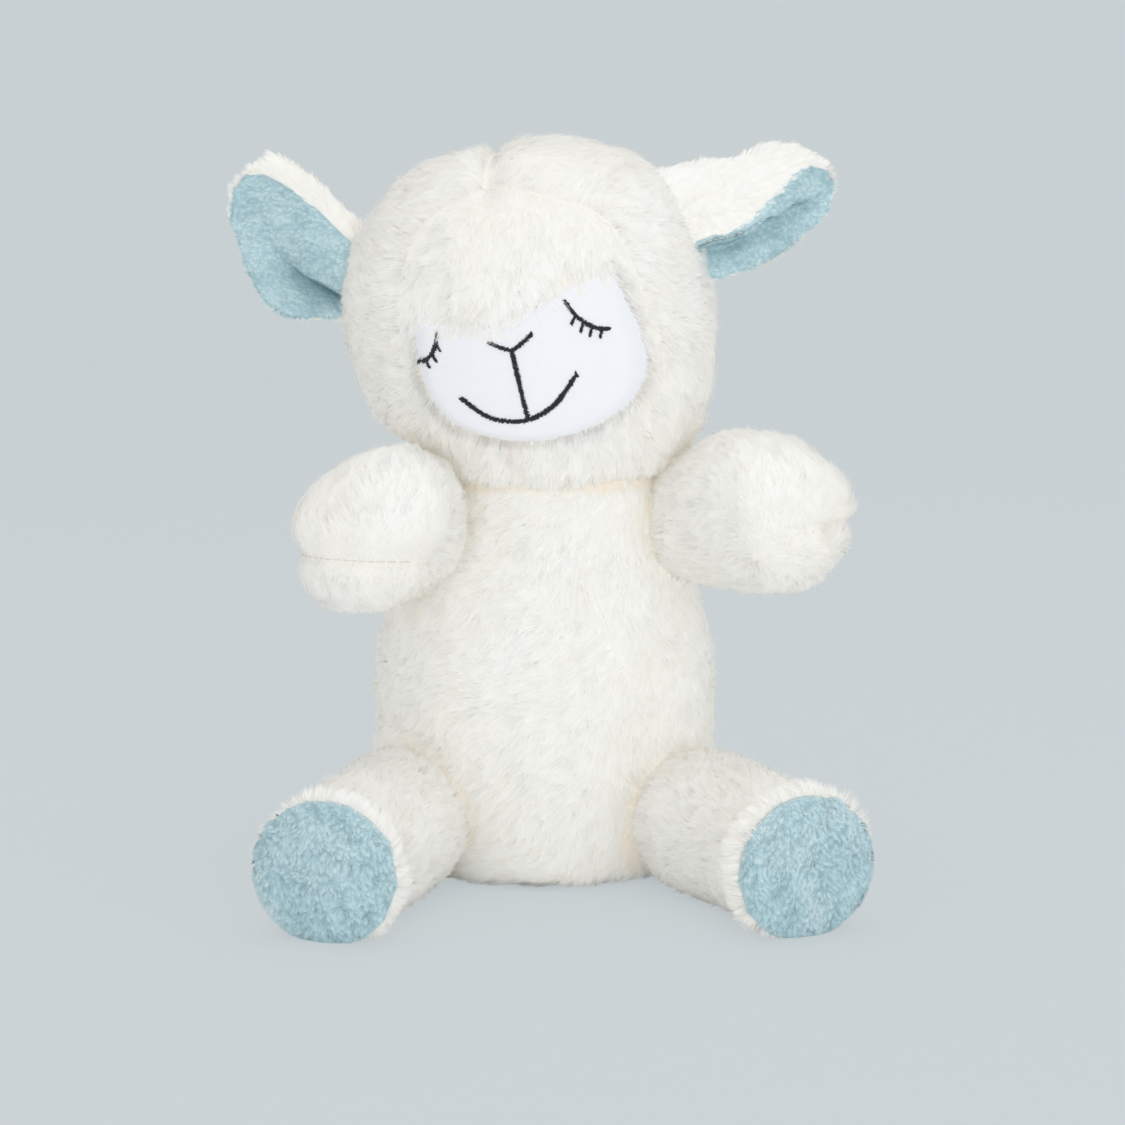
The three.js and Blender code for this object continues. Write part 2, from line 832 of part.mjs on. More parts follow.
const torsoGroup = groupAt(new THREE.Matrix4());
const torsoParts = torsoPieces();
addPiece(torsoGroup, "torso_cover", torsoParts.cover, "fur");
addPiece(torsoGroup, "torso_stuffing", torsoParts.stuffing, "stuffing");
addPiece(torsoGroup, "pellet_pouch", pouchForm(0), "cotton");

const neckFrame = new THREE.Matrix4().setPosition(neck.centre);
addPlaced(groupAt(neckFrame), "neck_wad", torsoParts.wad, "stuffing");

const headGroup = groupAt(neckFrame);
const headParts = headPieces();
addPlaced(headGroup, "head_cover", headParts.cover, "fur");
addPlaced(headGroup, "forelock_panel", headParts.forelock, "fur");
addPlaced(headGroup, "face_panel", headParts.facePanel, "facePile");
addPlaced(headGroup, "head_stuffing", headParts.stuffing, "stuffing");
addPlaced(headGroup, "left_eye_embroidery", eyeSolid(-1), "thread");
addPlaced(headGroup, "right_eye_embroidery", eyeSolid(1), "thread");
addPlaced(headGroup, "nose_embroidery", noseSolid(), "thread");
addPlaced(headGroup, "mouth_embroidery", mouthSolid(), "thread");

for (const [side, place] of Object.entries(earPlaces)) {
  const frame = earFrame(place);
  const group = groupAt(frame);
  const pivot = new THREE.Vector3().setFromMatrixPosition(frame);
  const axis = new THREE.Vector3().setFromMatrixColumn(frame, 0);
  const parts = earPieces({ ...place, frame, pivot, axis });
  addPiece(group, `${side}_ear_cover`, parts.fur, "fur");
  addPiece(group, `${side}_ear_lining`, parts.lining, "blue");
}

for (const [side, { pivot, along, swings }] of Object.entries(armPlaces)) {
  const frame = frameAlong(pivot, along, up);
  const group = groupAt(frame);
  const parts = armPieces({ frame, pivot, swings, axis: up });
  addPiece(group, `${side}_arm_cover`, parts.cover, "fur");
  addPiece(group, `${side}_arm_stuffing`, parts.stuffing, "stuffing");
  addPiece(group, `${side}_mitten_stitch`, parts.stitch, "whiteThread");
}

for (const [side, { pivot, along, swings }] of Object.entries(legPlaces)) {
  const frame = frameAlong(pivot, along, up);
  const group = groupAt(frame);
  const axis = new THREE.Vector3().setFromMatrixColumn(frame, 0).negate();
  const parts = legPieces({ frame, pivot, swings, axis });
  addPiece(group, `${side}_leg_cover`, parts.cover, "fur");
  addPiece(group, `${side}_sole_pad`, parts.sole, "blue");
  addPiece(group, `${side}_leg_stuffing`, parts.stuffing, "stuffing");
}

export default lamb;
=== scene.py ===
# The looks of the sitting plush lamb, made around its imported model.
import json
import math
from dataclasses import dataclass

import bpy
import numpy as np
from mathutils import Matrix, Vector, bvhtree, kdtree


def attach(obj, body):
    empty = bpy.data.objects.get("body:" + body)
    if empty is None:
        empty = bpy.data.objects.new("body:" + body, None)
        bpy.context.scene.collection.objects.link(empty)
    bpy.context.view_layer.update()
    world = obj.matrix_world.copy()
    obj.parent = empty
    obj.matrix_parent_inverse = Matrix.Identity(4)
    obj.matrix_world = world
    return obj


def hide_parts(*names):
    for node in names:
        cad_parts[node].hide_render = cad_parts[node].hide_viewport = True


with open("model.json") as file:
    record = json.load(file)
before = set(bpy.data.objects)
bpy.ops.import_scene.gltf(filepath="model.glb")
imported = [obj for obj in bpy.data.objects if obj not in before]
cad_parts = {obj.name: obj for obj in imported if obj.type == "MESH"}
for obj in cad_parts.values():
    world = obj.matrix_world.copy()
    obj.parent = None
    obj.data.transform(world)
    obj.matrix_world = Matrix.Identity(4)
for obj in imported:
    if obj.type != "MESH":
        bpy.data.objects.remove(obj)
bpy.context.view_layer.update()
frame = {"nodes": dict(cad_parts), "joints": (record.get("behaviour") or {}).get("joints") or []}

MM = 0.001
DEGREE = math.pi / 180
SIDES = {"left": -1, "right": 1}

# The photograph's camera
PHOTO_WIDE = 1125  # pixels each way
CAMERA_DISTANCE = 1500 * MM
CAMERA_RISE = 9.5 * DEGREE
CAMERA_TARGET = Vector((6.9 * MM, 0, 121.5 * MM))
PIXELS_PER_RADIAN = 3797.5
SENSOR = 36
NEARER = np.array([0, -math.cos(CAMERA_RISE), math.sin(CAMERA_RISE)])

# Fur
PILE = 2.8 * MM  # how far a skin lies inside the form that its fur fills out
BARE_PILE = 1.0 * MM
STRANDS = 1.0  # the share of the strands that is grown
STRANDS_PER_TUFT = 26
GATHERED = 0.62  # how far a tuft draws its strands' tips together
BEND_AT = 0.45  # how far up a strand bends over
ROOTED = 0.3 * MM  # how deep a strand starts in its skin
LEAST_RISE, MOST_RISE = 4 * DEGREE, 85 * DEGREE
HIDDEN = -1.5 * MM  # fur this deep inside a neighbour isn't grown
JOINTED = -9 * MM  # the same where the neighbour swings away
PAINTED_CREASE_SHADE_REACH = 6 * MM  # how far the painted warm shade of a crease or seam reaches
FLOOR = 0.15 * MM
QUARTERS = {
    "front_left": (-1, -1),
    "front_right": (1, -1),
    "back_left": (-1, 1),
    "back_right": (1, 1),
}


def deselect():
    if bpy.context.object and bpy.context.object.mode != "OBJECT":
        bpy.ops.object.mode_set(mode="OBJECT")
    bpy.ops.object.select_all(action="DESELECT")


deselect()


# Camera
def add_camera():
    ahead = Vector((0, math.cos(CAMERA_RISE), -math.sin(CAMERA_RISE)))
    place = CAMERA_TARGET - ahead * CAMERA_DISTANCE
    turn = (math.pi / 2 - CAMERA_RISE, 0, 0)
    bpy.ops.object.camera_add(location=place, rotation=turn)
    camera = bpy.context.object
    camera.name = "camera"
    camera.data.sensor_width = SENSOR
    camera.data.lens = PIXELS_PER_RADIAN * SENSOR / PHOTO_WIDE
    camera.data.clip_start = 0.01
    camera.data.clip_end = 30
    bpy.context.scene.camera = camera


add_camera()


# Shader maths
class Shade:
    """A node tree with one of its sockets: makes more nodes, and Math nodes for products."""

    def __init__(self, tree, socket=None):
        self.tree = tree
        self.socket = socket

    def plug(self, socket):
        self.tree.links.new(self.socket, socket)

    def node(self, kind, settings=None, **inputs):
        made = self.tree.nodes.new(kind)
        for name, setting in (settings or {}).items():
            if name == "stops":
                ramp = made.color_ramp
                while len(ramp.elements) < len(setting):
                    ramp.elements.new(1)
                for element, (at, colour) in zip(ramp.elements, setting):
                    element.position = at
                    element.color = (*colour, 1)
            else:
                setattr(made, name, setting)
        for name, value in inputs.items():
            key = int(name[1:]) if name[1:].isdigit() else name.replace("_", " ")
            socket = made.inputs[key]
            if isinstance(value, Shade):
                value.plug(socket)
            else:
                socket.default_value = value
        return made

    def out(self, kind, settings=None, output=0, **inputs):
        return Shade(self.tree, self.node(kind, settings, **inputs).outputs[output])

    def maths(self, operation, *values):
        inputs = {f"i{i}": value for i, value in enumerate(values)}
        return self.out("ShaderNodeMath", {"operation": operation}, **inputs)

    def __mul__(self, other):
        return self.maths("MULTIPLY", self, other)

    def __rmul__(self, other):
        return self.maths("MULTIPLY", other, self)


def new_material(name, roughness, sheen=0.0):
    """An empty cloth material, its node tree, and its main shader."""
    material = bpy.data.materials.new(name)
    material.use_nodes = True
    shader = material.node_tree.nodes["Principled BSDF"]
    shader.inputs["Roughness"].default_value = roughness
    shader.inputs["Specular IOR Level"].default_value = 0.25
    shader.inputs["Sheen Weight"].default_value = sheen
    shader.inputs["Sheen Roughness"].default_value = 0.5
    return material, Shade(material.node_tree), shader


def strand_material(name, painted_crease_shade, plain, tip, root):
    """Fur that is read from its own map: across it the tone, from painted crease shade to the
    lightest, and up it the way from root to tip, with painted shade darkening the roots.
    """
    material, start, shader = new_material(name, 0.85)
    place = start.out("ShaderNodeUVMap", {"uv_map": "OFBake"})
    apart = start.node("ShaderNodeSeparateXYZ", i0=place)
    tone = Shade(start.tree, apart.outputs[0])
    along = Shade(start.tree, apart.outputs[1])
    # The tone's dark end is painted shade in creases and seams and at the edges of tufts.
    ground = start.out(
        "ShaderNodeValToRGB", {"stops": [(0.0, painted_crease_shade), (0.55, plain), (1.0, tip)]}, i0=tone
    )
    # Painted shade: each strand darkens towards its root, deep in the pile.
    shaded = start.out(
        "ShaderNodeMix",
        {"data_type": "RGBA", "blend_type": "MULTIPLY"},
        output=2,
        i0=1.0,
        i6=ground,
        i7=start.out(
            "ShaderNodeValToRGB", {"stops": [(0.0, root), (0.6, (1, 1, 1))]}, i0=along
        ),
    )
    shaded.plug(shader.inputs["Base Color"])
    return material


def ground_material(name, colour, shade, scale, depth, roughness=0.95, sheen=0.3):
    """The cloth under a pile: two tones in soft patches, with the knit of its backing as bump."""
    material, start, shader = new_material(name, roughness, sheen)
    place = start.out("ShaderNodeTexCoord", output=3)
    patches = start.out("ShaderNodeTexNoise", i0=place, Scale=scale, Detail=4.0)
    tone = start.out(
        "ShaderNodeMix", {"data_type": "RGBA"}, output=2, i0=patches, i6=(*shade, 1),
        i7=(*colour, 1),
    )
    tone.plug(shader.inputs["Base Color"])
    grain = start.out("ShaderNodeTexNoise", i0=place, Scale=scale * 12, Detail=3.0)
    bump = start.out("ShaderNodeBump", Strength=0.5, Distance=depth * MM, Height=grain)
    bump.plug(shader.inputs["Normal"])
    return material


# The tones of each fur: painted shade in a crease, plain, on a tuft, and the painted shade that
# darkens it at the roots
FURS = {
    "cream_fur": (
        (0.95, 0.82, 0.66), (0.955, 0.94, 0.895), (0.98, 0.975, 0.955), (0.96, 0.945, 0.915),
    ),
    "blue_pile": (
        (0.38, 0.58, 0.645), (0.575, 0.775, 0.835), (0.76, 0.91, 0.95), (0.34, 0.41, 0.46),
    ),
}
# Each cloth's two tones, how fine its patches are, and its grain's depth in millimetres
CLOTHS = {
    "cream_backing": ((0.93, 0.915, 0.87), (0.9, 0.88, 0.82), 90, 0.3),
    "short_pile": ((0.9, 0.91, 0.955), (0.865, 0.88, 0.93), 160, 0.3),
    "blue_backing": ((0.54, 0.71, 0.75), (0.42, 0.6, 0.65), 200, 0.3),
    "embroidery": ((0.02, 0.021, 0.03), (0.012, 0.012, 0.018), 900, 0.08, 0.5, 0.2),
    "closing_thread": ((0.84, 0.82, 0.76), (0.72, 0.69, 0.62), 900, 0.08, 0.6),
    "inner_cloth": ((0.8, 0.76, 0.68), (0.7, 0.66, 0.58), 300, 0.2),
}
materials = {name: strand_material(name, *tones) for name, tones in FURS.items()}
materials |= {name: ground_material(name, *looks) for name, looks in CLOTHS.items()}


# Smooth outlines and fields
def smoothed(rows, steps=16):
    """A smooth curve through rows of numbers."""
    rows = np.array(rows, float)
    ends = np.vstack([2 * rows[0] - rows[1], rows, 2 * rows[-1] - rows[-2]])
    t = np.linspace(0, 1, steps, endpoint=False)[:, None]
    curve = []
    for a, b, c, d in zip(ends, ends[1:], ends[2:], ends[3:]):
        cubic = (c - a) * t + (2 * a - 5 * b + 4 * c - d) * t**2 + (3 * b - a - 3 * c + d) * t**3
        curve.append(b + 0.5 * cubic)
    curve.append(rows[-1:])
    return np.vstack(curve)


def closed_ring(places, steps):
    """A smooth closed curve through places."""
    around = np.vstack([places[-1:], places, places[:2]])
    return smoothed(around, steps)[steps : -steps - 1]


def columns(*parts):
    """Rows made from their columns, where a column may be one number for all rows."""
    return np.stack(np.broadcast_arrays(*parts), 1)


def waves(points, size, seed, count=7):
    """A smooth random field over points, about -1 to 1, whose swells are a given size."""
    rng = np.random.default_rng(seed)
    total = np.zeros(len(points))
    for _ in range(count):
        way = rng.normal(size=3)
        way *= rng.uniform(0.6, 1.5) / np.linalg.norm(way)
        total += np.sin(points @ way * (2 * math.pi / size) + rng.uniform(0, 2 * math.pi))
    return total / math.sqrt(count / 2) / 1.6


def unit(vectors):
    return vectors / np.maximum(np.linalg.norm(vectors, axis=1, keepdims=True), 1e-12)


def smoothstep(values, low, high):
    t = np.clip((values - low) / (high - low), 0, 1)
    return t * t * (3 - 2 * t)


def turned(matrix, points):
    return points @ np.array(matrix.to_3x3()).T + np.array(matrix.translation)


# Stuffed forms, in the same shares and sizes as the solids
class Form:
    """A stuffed form along its own Z: rings that swell and taper between two poles."""

    def __init__(
        self, rows, half_width, half_depth, height, matrix=None, inset=PILE, bend=None, low=0
    ):
        curve = smoothed(rows)
        curve[:, 1:] = np.maximum(curve[:, 1:], 0)
        self.curve = curve
        self.half_width = half_width * MM - inset
        self.half_depth = half_depth * MM - inset
        self.height = height * MM - 2 * inset
        self.low = low * MM + inset
        self.matrix = matrix or Matrix()
        self.bend = bend
        steps = np.linalg.norm(np.diff(curve, axis=0), axis=1)
        self.along = np.concatenate([[0], np.cumsum(steps)]) / steps.sum()
        self.rise = np.maximum.accumulate(curve[:, 0]) + np.arange(len(curve)) * 1e-9

    def place(self, angle, share):
        """Where a turn round the form and a share of the way up its outline lie."""
        high, wide, deep = (np.interp(share, self.along, self.curve[:, i]) for i in range(3))
        across = np.cos(angle) * wide * self.half_width
        behind = np.sin(angle) * deep * self.half_depth
        local = columns(across, behind, self.low + high * self.height)
        return turned(self.matrix, self.bend(local) if self.bend else local)

    def local(self, points):
        back = turned(self.matrix.inverted(), points)
        return self.bend.undo(back) if self.bend else back

    def off(self, points):
        """About how far points lie outside the form, less than zero inside it."""
        local = self.local(points)
        share = (local[:, 2] - self.low) / self.height
        wide = np.interp(share, self.rise, self.curve[:, 1]) * self.half_width + 1e-5
        deep = np.interp(share, self.rise, self.curve[:, 2]) * self.half_depth + 1e-5
        reach = np.hypot(local[:, 0] / wide, local[:, 1] / deep)
        side = (reach - 1) * np.minimum(wide, deep)
        ends = np.maximum(-share, share - 1) * self.height
        return np.maximum(side, ends)


class Lean:
    """The head's turn and its lean, which grows up the neck."""

    centre = np.array([3, -8]) * MM
    turn = -7.5 * DEGREE
    lean = 11.2 * DEGREE
    middle = 180 * MM
    start = 158 * MM
    end = 198 * MM

    def __call__(self, points):
        x = points[:, 0] * math.cos(self.turn) - points[:, 1] * math.sin(self.turn)
        y = points[:, 0] * math.sin(self.turn) + points[:, 1] * math.cos(self.turn)
        angle = self.lean * smoothstep(points[:, 2], self.start, self.end)
        high = points[:, 2] - self.middle
        return columns(
            self.centre[0] + x * np.cos(angle) - high * np.sin(angle), self.centre[1] + y,
            self.middle + x * np.sin(angle) + high * np.cos(angle),
        )

    def undo(self, points):
        x, y = (points[:, :2] - self.centre).T
        high = points[:, 2] - self.middle
        z = points[:, 2]
        for _ in range(5):
            angle = self.lean * smoothstep(z, self.start, self.end)
            z = self.middle - x * np.sin(angle) + high * np.cos(angle)
        flat = x * np.cos(angle) + high * np.sin(angle)
        return columns(
            flat * math.cos(self.turn) + y * math.sin(self.turn),
            y * math.cos(self.turn) - flat * math.sin(self.turn), z,
        )


lean = Lean()


class Neck:
    """The torso's top, drawn over to the middle of the neck."""

    shift = np.array([3, -3, 0]) * MM
    start = 110 * MM
    end = 150 * MM

    def drawn(self, points):
        return self.shift * smoothstep(points[:, 2], self.start, self.end)[:, None]

    def __call__(self, points):
        return points + self.drawn(points)

    def undo(self, points):
        return points - self.drawn(points)


TORSO_ROWS = [
    [0, 0, 0], [0.003, 0.5, 0.52], [0.012, 0.79, 0.8], [0.06, 0.93, 0.93], [0.18, 0.99, 0.98],
    [0.32, 1, 1], [0.44, 0.985, 0.985], [0.55, 0.92, 0.95], [0.64, 0.83, 0.9],
    [0.71, 0.76, 0.87], [0.77, 0.715, 0.845], [0.82, 0.7, 0.82], [0.88, 0.64, 0.76],
    [0.94, 0.48, 0.55], [1, 0, 0],
]
HEAD_BOTTOM = 152
HEAD_ROWS = [
    [0, 0, 0], [0.02, 0.5, 0.56], [0.058, 0.67, 0.77], [0.115, 0.735, 0.83],
    [0.175, 0.82, 0.89], [0.26, 0.905, 0.955], [0.4, 0.98, 0.995], [0.54, 1, 1],
    [0.69, 0.975, 0.97], [0.83, 0.83, 0.84], [0.94, 0.53, 0.54], [0.985, 0.26, 0.27], [1, 0, 0],
]
ARM_ROWS = [
    [-0.3, 0, 0], [-0.26, 0.4, 0.42], [-0.14, 0.66, 0.68], [0.04, 0.76, 0.78],
    [0.2, 0.83, 0.85], [0.4, 0.94, 0.96], [0.6, 1, 1], [0.77, 0.96, 0.97], [0.9, 0.75, 0.78],
    [0.97, 0.44, 0.48], [1, 0, 0],
]
LEG_ROWS = [
    [-0.25, 0, 0], [-0.22, 0.42, 0.42], [-0.12, 0.74, 0.74], [0.0, 0.88, 0.88],
    [0.2, 0.95, 0.95], [0.45, 0.93, 0.93], [0.7, 0.91, 0.91], [0.82, 0.93, 0.93],
    [0.87, 0.86, 0.86], [0.893, 0.66, 0.66], [0.898, 0.34, 0.34], [0.9, 0, 0],
]
# Half widths, half depths and heights, in millimetres
TORSO_SIZE = 69, 57, 197
HEAD_SIZE = 73, 62.5, 139.5
ARM_SIZE = 31.5, 32.5, 75
LEG_SIZE = 31, 31, 103
LEANING = Matrix(((1, 0.15, 0, 1.2 * MM), (0, 1, 0, 0), (0, 0, 1, 0), (0, 0, 0, 1)))


class Slump:
    """How the top of an arm sinks towards its end and rises towards the shoulder."""

    def __init__(self, outward, slope, middle):
        self.outward = np.array(outward)
        self.slope = slope
        self.middle = middle * MM

    def drop(self, points):
        out = points @ self.outward - self.middle
        sunk = np.clip(self.slope * out, -3 * MM, 8 * MM)
        return np.array([0, 1, 0]) * (sunk * smoothstep(points[:, 1], -12 * MM, 20 * MM))[:, None]

    def __call__(self, points):
        return points - self.drop(points)

    def undo(self, points):
        return points + self.drop(points + self.drop(points))


SLUMPS = {"left": Slump((-0.92, 0, 0.38), 0.18, 26), "right": Slump((0.69, 0, 0.69), 0.32, 27)}
ARM_LIFT = {
    "left": Matrix.Translation((0, 1.5 * MM, 0)) @ LEANING,
    "right": Matrix.Translation((0, 2.5 * MM, 0)),
}
ARM_ALONG = {"left": Vector((-0.38, -0.92, 0.09)), "right": Vector((0.69, -0.69, 0.22))}
LEG_ALONG = {"left": Vector((-0.3, -0.95, -0.015)), "right": Vector((0.46, -0.89, -0.015))}
UP = Vector((0, 0, 1))

joints = {joint["name"]: joint for joint in frame["joints"]}


def frame_along(joint, along):
    """A limb's own frame: from its joint, with Z along it and Y as upright as can be."""
    z = along.normalized()
    y = (UP - z * UP.dot(z)).normalized()
    x = y.cross(z)
    matrix = Matrix((x, y, z)).transposed().to_4x4()
    matrix.translation = Vector(joints[joint]["pos_m"])
    return matrix


arm_frames = {s: frame_along(f"{s}_arm_swing", ARM_ALONG[s]) for s in SIDES}
leg_frames = {s: frame_along(f"{s}_leg_raise", LEG_ALONG[s]) for s in SIDES}


def head_form(inset):
    return Form(HEAD_ROWS, *HEAD_SIZE, inset=inset, bend=lean, low=HEAD_BOTTOM)


torso_form = Form(TORSO_ROWS, *TORSO_SIZE, bend=Neck())
torso_form.low = 0.5 * MM
fur_head = head_form(PILE)
face_form = head_form(BARE_PILE)
arm_forms = {
    s: Form(ARM_ROWS, *ARM_SIZE, arm_frames[s] @ ARM_LIFT[s], bend=SLUMPS[s]) for s in SIDES
}
leg_forms = {s: Form(LEG_ROWS, *LEG_SIZE, leg_frames[s]) for s in SIDES}
limbs = [*arm_forms.values(), *leg_forms.values()]
for form in limbs:
    form.low = 0
    form.height += PILE

# The face gusset's seam, across and up the upright head, in millimetres
GUSSET_SEAM = [
    (0.7, 271.5), (9, 269.6), (21.9, 264.4), (36.4, 255.8), (42.5, 245.4), (46.6, 226),
    (49.3, 208), (48.6, 197.5), (41.7, 188), (29.3, 181.4), (13.6, 177.8), (-1.9, 177.2),
    (-15.4, 179.9), (-24, 183.6), (-32.9, 190.6), (-38.7, 201), (-41.1, 211.5), (-40.4, 222),
    (-37.6, 236.3), (-32.5, 251), (-25.5, 262), (-14, 269),
]
PANEL_TOP = [
    (-50, 235), (-36, 231), (-25, 228.5), (-12.5, 226), (-1.5, 223), (9.5, 227), (24.5, 233.5),
    (41, 237), (54, 238),
]


class Seam:
    """A closed seam round the face, as how far it lies from its middle on each bearing."""

    middle = np.array([4, 222]) * MM

    def __init__(self, places):
        line = closed_ring(np.array(places) * MM, 8) - self.middle
        bearing = np.arctan2(line[:, 1], line[:, 0])
        order = np.argsort(bearing)
        self.bearing = bearing[order]
        self.reach = np.linalg.norm(line, axis=1)[order]

    def far(self, bearing):
        return np.interp(bearing, self.bearing, self.reach, period=2 * math.pi)

    def off(self, across, high):
        x, z = across - self.middle[0], high - self.middle[1]
        return np.hypot(x, z) - self.far(np.arctan2(z, x))


gusset = Seam(GUSSET_SEAM)


def gusset_off(upright):
    """About how far places on the front of the upright head lie outside the gusset seam."""
    return np.where(upright[:, 1] < 0, gusset.off(upright[:, 0], upright[:, 2]), 1.0)


def panel_top(across):
    """The seam between the forehead fur and the face, which dips over the nose."""
    seam = smoothed(np.array(PANEL_TOP) * MM, 6)
    return np.interp(across, seam[:, 0], seam[:, 1])


def panel_off(upright):
    """How far places lie above that seam."""
    return upright[:, 2] - panel_top(upright[:, 0])


def on_face(across, high, lift):
    """Places on the front of the upright head, lifted off it, as they are on the toy."""
    form = face_form
    share = (high - form.low) / form.height
    wide = np.interp(share, form.rise, form.curve[:, 1]) * form.half_width + lift
    deep = np.interp(share, form.rise, form.curve[:, 2]) * form.half_depth + lift
    y = -deep * np.sqrt(np.maximum(1 - (across / wide) ** 2, 0))
    return lean(columns(across, y, high))


# Meshes
def set_places(mesh, places):
    mesh.vertices.foreach_set("co", np.ascontiguousarray(places, np.float32).ravel())
    mesh.update()


def triples(items, field):
    values = np.empty(len(items) * 3, np.float32)
    items.foreach_get(field, values)
    return values.reshape(-1, 3).astype(float)


def places_of(mesh):
    return triples(mesh.vertices, "co")


def normals_of(mesh):
    return triples(mesh.vertex_normals, "vector")


def add_ball(name, rings, sides):
    """A ball, where its vertices start, and the turn round it at which each lies."""
    bpy.ops.mesh.primitive_uv_sphere_add(segments=sides, ring_count=rings, radius=1)
    ball = bpy.context.object
    ball.name = ball.data.name = name
    start = places_of(ball.data)
    return ball, start, np.arctan2(start[:, 1], start[:, 0])


def face_outwards():
    bpy.ops.object.mode_set(mode="EDIT")
    bpy.ops.mesh.select_all(action="SELECT")
    bpy.ops.mesh.normals_make_consistent(inside=False)
    bpy.ops.object.mode_set(mode="OBJECT")


def smooth_and_leave():
    bpy.ops.object.shade_smooth()
    deselect()


def stuffed_skin(name, form, offset=None, rings=72, sides=112):
    """The closed skin of a form, from a ball, with its seams drawn in by an offset."""
    skin, start, angle = add_ball(name, rings, sides)
    share = 1 - np.arccos(np.clip(start[:, 2], -1, 1)) / math.pi
    set_places(skin.data, form.place(angle, share))
    face_outwards()
    places = places_of(skin.data)
    if offset:
        normals = normals_of(skin.data)
        places += normals * offset(places, normals)[:, None]
    places[:, 2] = np.maximum(places[:, 2], FLOOR)
    set_places(skin.data, places)
    smooth_and_leave()
    return skin


def linked(name, mesh):
    piece = bpy.data.objects.new(name, mesh)
    bpy.context.scene.collection.objects.link(piece)
    return piece


def clothe(piece, material):
    piece.data.materials.clear()
    piece.data.materials.append(materials[material])


def finish_piece(piece, body, material, nodes=()):
    clothe(piece, material)
    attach(piece, body)
    if nodes:
        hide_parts(*nodes)
    return piece


def cream_skin(name, body, form, offset, nodes, fill=0.9, **fineness):
    """The cloth of a cover, from which its fur grows."""
    skin = stuffed_skin(name, form, offset, **fineness)
    return finish_piece(skin, body, "cream_backing", nodes)


def bell(distance, width):
    return np.exp(-((distance / width) ** 2))


def groove(distance, depth, width):
    """A seam drawn in by a depth where the distance to it is small."""
    return -depth * bell(distance, width)


def lumps(places, seed):
    """The unevenness of hand stuffing."""
    return 0.8 * MM * waves(places, 46 * MM, seed) + 0.4 * MM * waves(places, 17 * MM, seed + 1)


def torso_seam(places):
    """How a head or limb is drawn in where it meets the torso."""
    return groove(torso_form.off(places), 1.5 * MM, 5 * MM)


# Fur
@dataclass
class Coat:
    """How a kind of fur lies: its strands, their swirls, and how they gather into tufts."""

    length: float
    rise: float
    width: float
    slot: str = "cream_fur"
    material: str = "cream_fur"
    swirl: float = 0.5
    swirl_size: float = 34 * MM
    clump: float = 2.2 * MM  # the size of a tuft
    loose: float = 0.08  # the share of strands that stand up
    painted_tuft_shade: float = 0.2  # painted shade: how much darker a tuft is at its edge, and lighter in its middle
    ragged: float = 0.25
    bend: float = 0.55
    tilt: float = 0.12


CREAM_COAT = Coat(6.3 * MM, 22 * DEGREE, 0.29 * MM)
EAR_COAT = Coat(5.6 * MM, 22 * DEGREE, 0.36 * MM, loose=0)
BLUE_COAT = Coat(
    2.7 * MM, 46 * DEGREE, 0.3 * MM, "blue_plush", "blue_pile", swirl=0.8, swirl_size=9 * MM,
    clump=0.7 * MM, loose=0.1, painted_tuft_shade=0.5,
)


def scatter(mesh, count, rng, lined=None):
    """Places and normals spread evenly over a mesh by area, and how lined each place is."""
    mesh.calc_loop_triangles()
    corners = np.empty(len(mesh.loop_triangles) * 3, np.int32)
    mesh.loop_triangles.foreach_get("vertices", corners)
    corners = corners.reshape(-1, 3)
    places, normals = places_of(mesh), normals_of(mesh)
    a, b, c = (places[corners[:, i]] for i in range(3))
    areas = np.linalg.norm(np.cross(b - a, c - a), axis=1) / 2
    chosen = rng.choice(len(areas), count, p=areas / areas.sum())
    u, v = rng.random(count), rng.random(count)
    over = u + v > 1
    u[over], v[over] = 1 - u[over], 1 - v[over]
    parts = np.stack([1 - u - v, u, v], 1)[:, :, None]
    where = (places[corners[chosen]] * parts).sum(1)
    facing = unit((normals[corners[chosen]] * parts).sum(1))
    weight = np.zeros(count) if lined is None else (lined[corners[chosen]] * parts[:, :, 0]).sum(1)
    return where, facing, weight, areas.sum()


def between(first, second, angle):
    """Ways turned by an angle from the first towards the second."""
    return first * np.cos(angle)[:, None] + second * np.sin(angle)[:, None]


def ribbon_mesh(name, ribbons, shade, lit):
    """Ribbons of five vertices each, wide at the root and pointed at the tip, with their map."""
    count = len(ribbons)
    mesh = bpy.data.meshes.new(name)
    mesh.vertices.add(count * 5)
    mesh.vertices.foreach_set("co", ribbons.astype(np.float32).ravel())
    corners = np.arange(count)[:, None] * 5 + np.array([0, 1, 2, 3, 3, 2, 4])
    mesh.loops.add(count * 7)
    mesh.loops.foreach_set("vertex_index", corners.astype(np.int32).ravel())
    starts = np.arange(count)[:, None] * 7 + np.array([0, 4])
    mesh.polygons.add(count * 2)
    mesh.polygons.foreach_set("loop_start", starts.astype(np.int32).ravel())
    mesh.polygons.foreach_set("use_smooth", np.ones(count * 2, bool))
    mesh.update(calc_edges=True)
    column = shade[:, None] + np.array([-1, 1, 1, -1, -1, 1, 0]) * 0.008
    height = np.array([0.01, 0.01, 0.5, 0.5, 0.5, 0.5, 0.99])
    places = np.stack([column, np.broadcast_to(height, column.shape)], 2)
    layer = mesh.uv_layers.new(name="OFBake")
    layer.uv.foreach_set("vector", places.astype(np.float32).ravel())
    mesh.normals_split_custom_set_from_vertices(np.repeat(lit, 5, axis=0).astype(np.float32))
    return mesh


def everywhere(value):
    return lambda places, normals: value


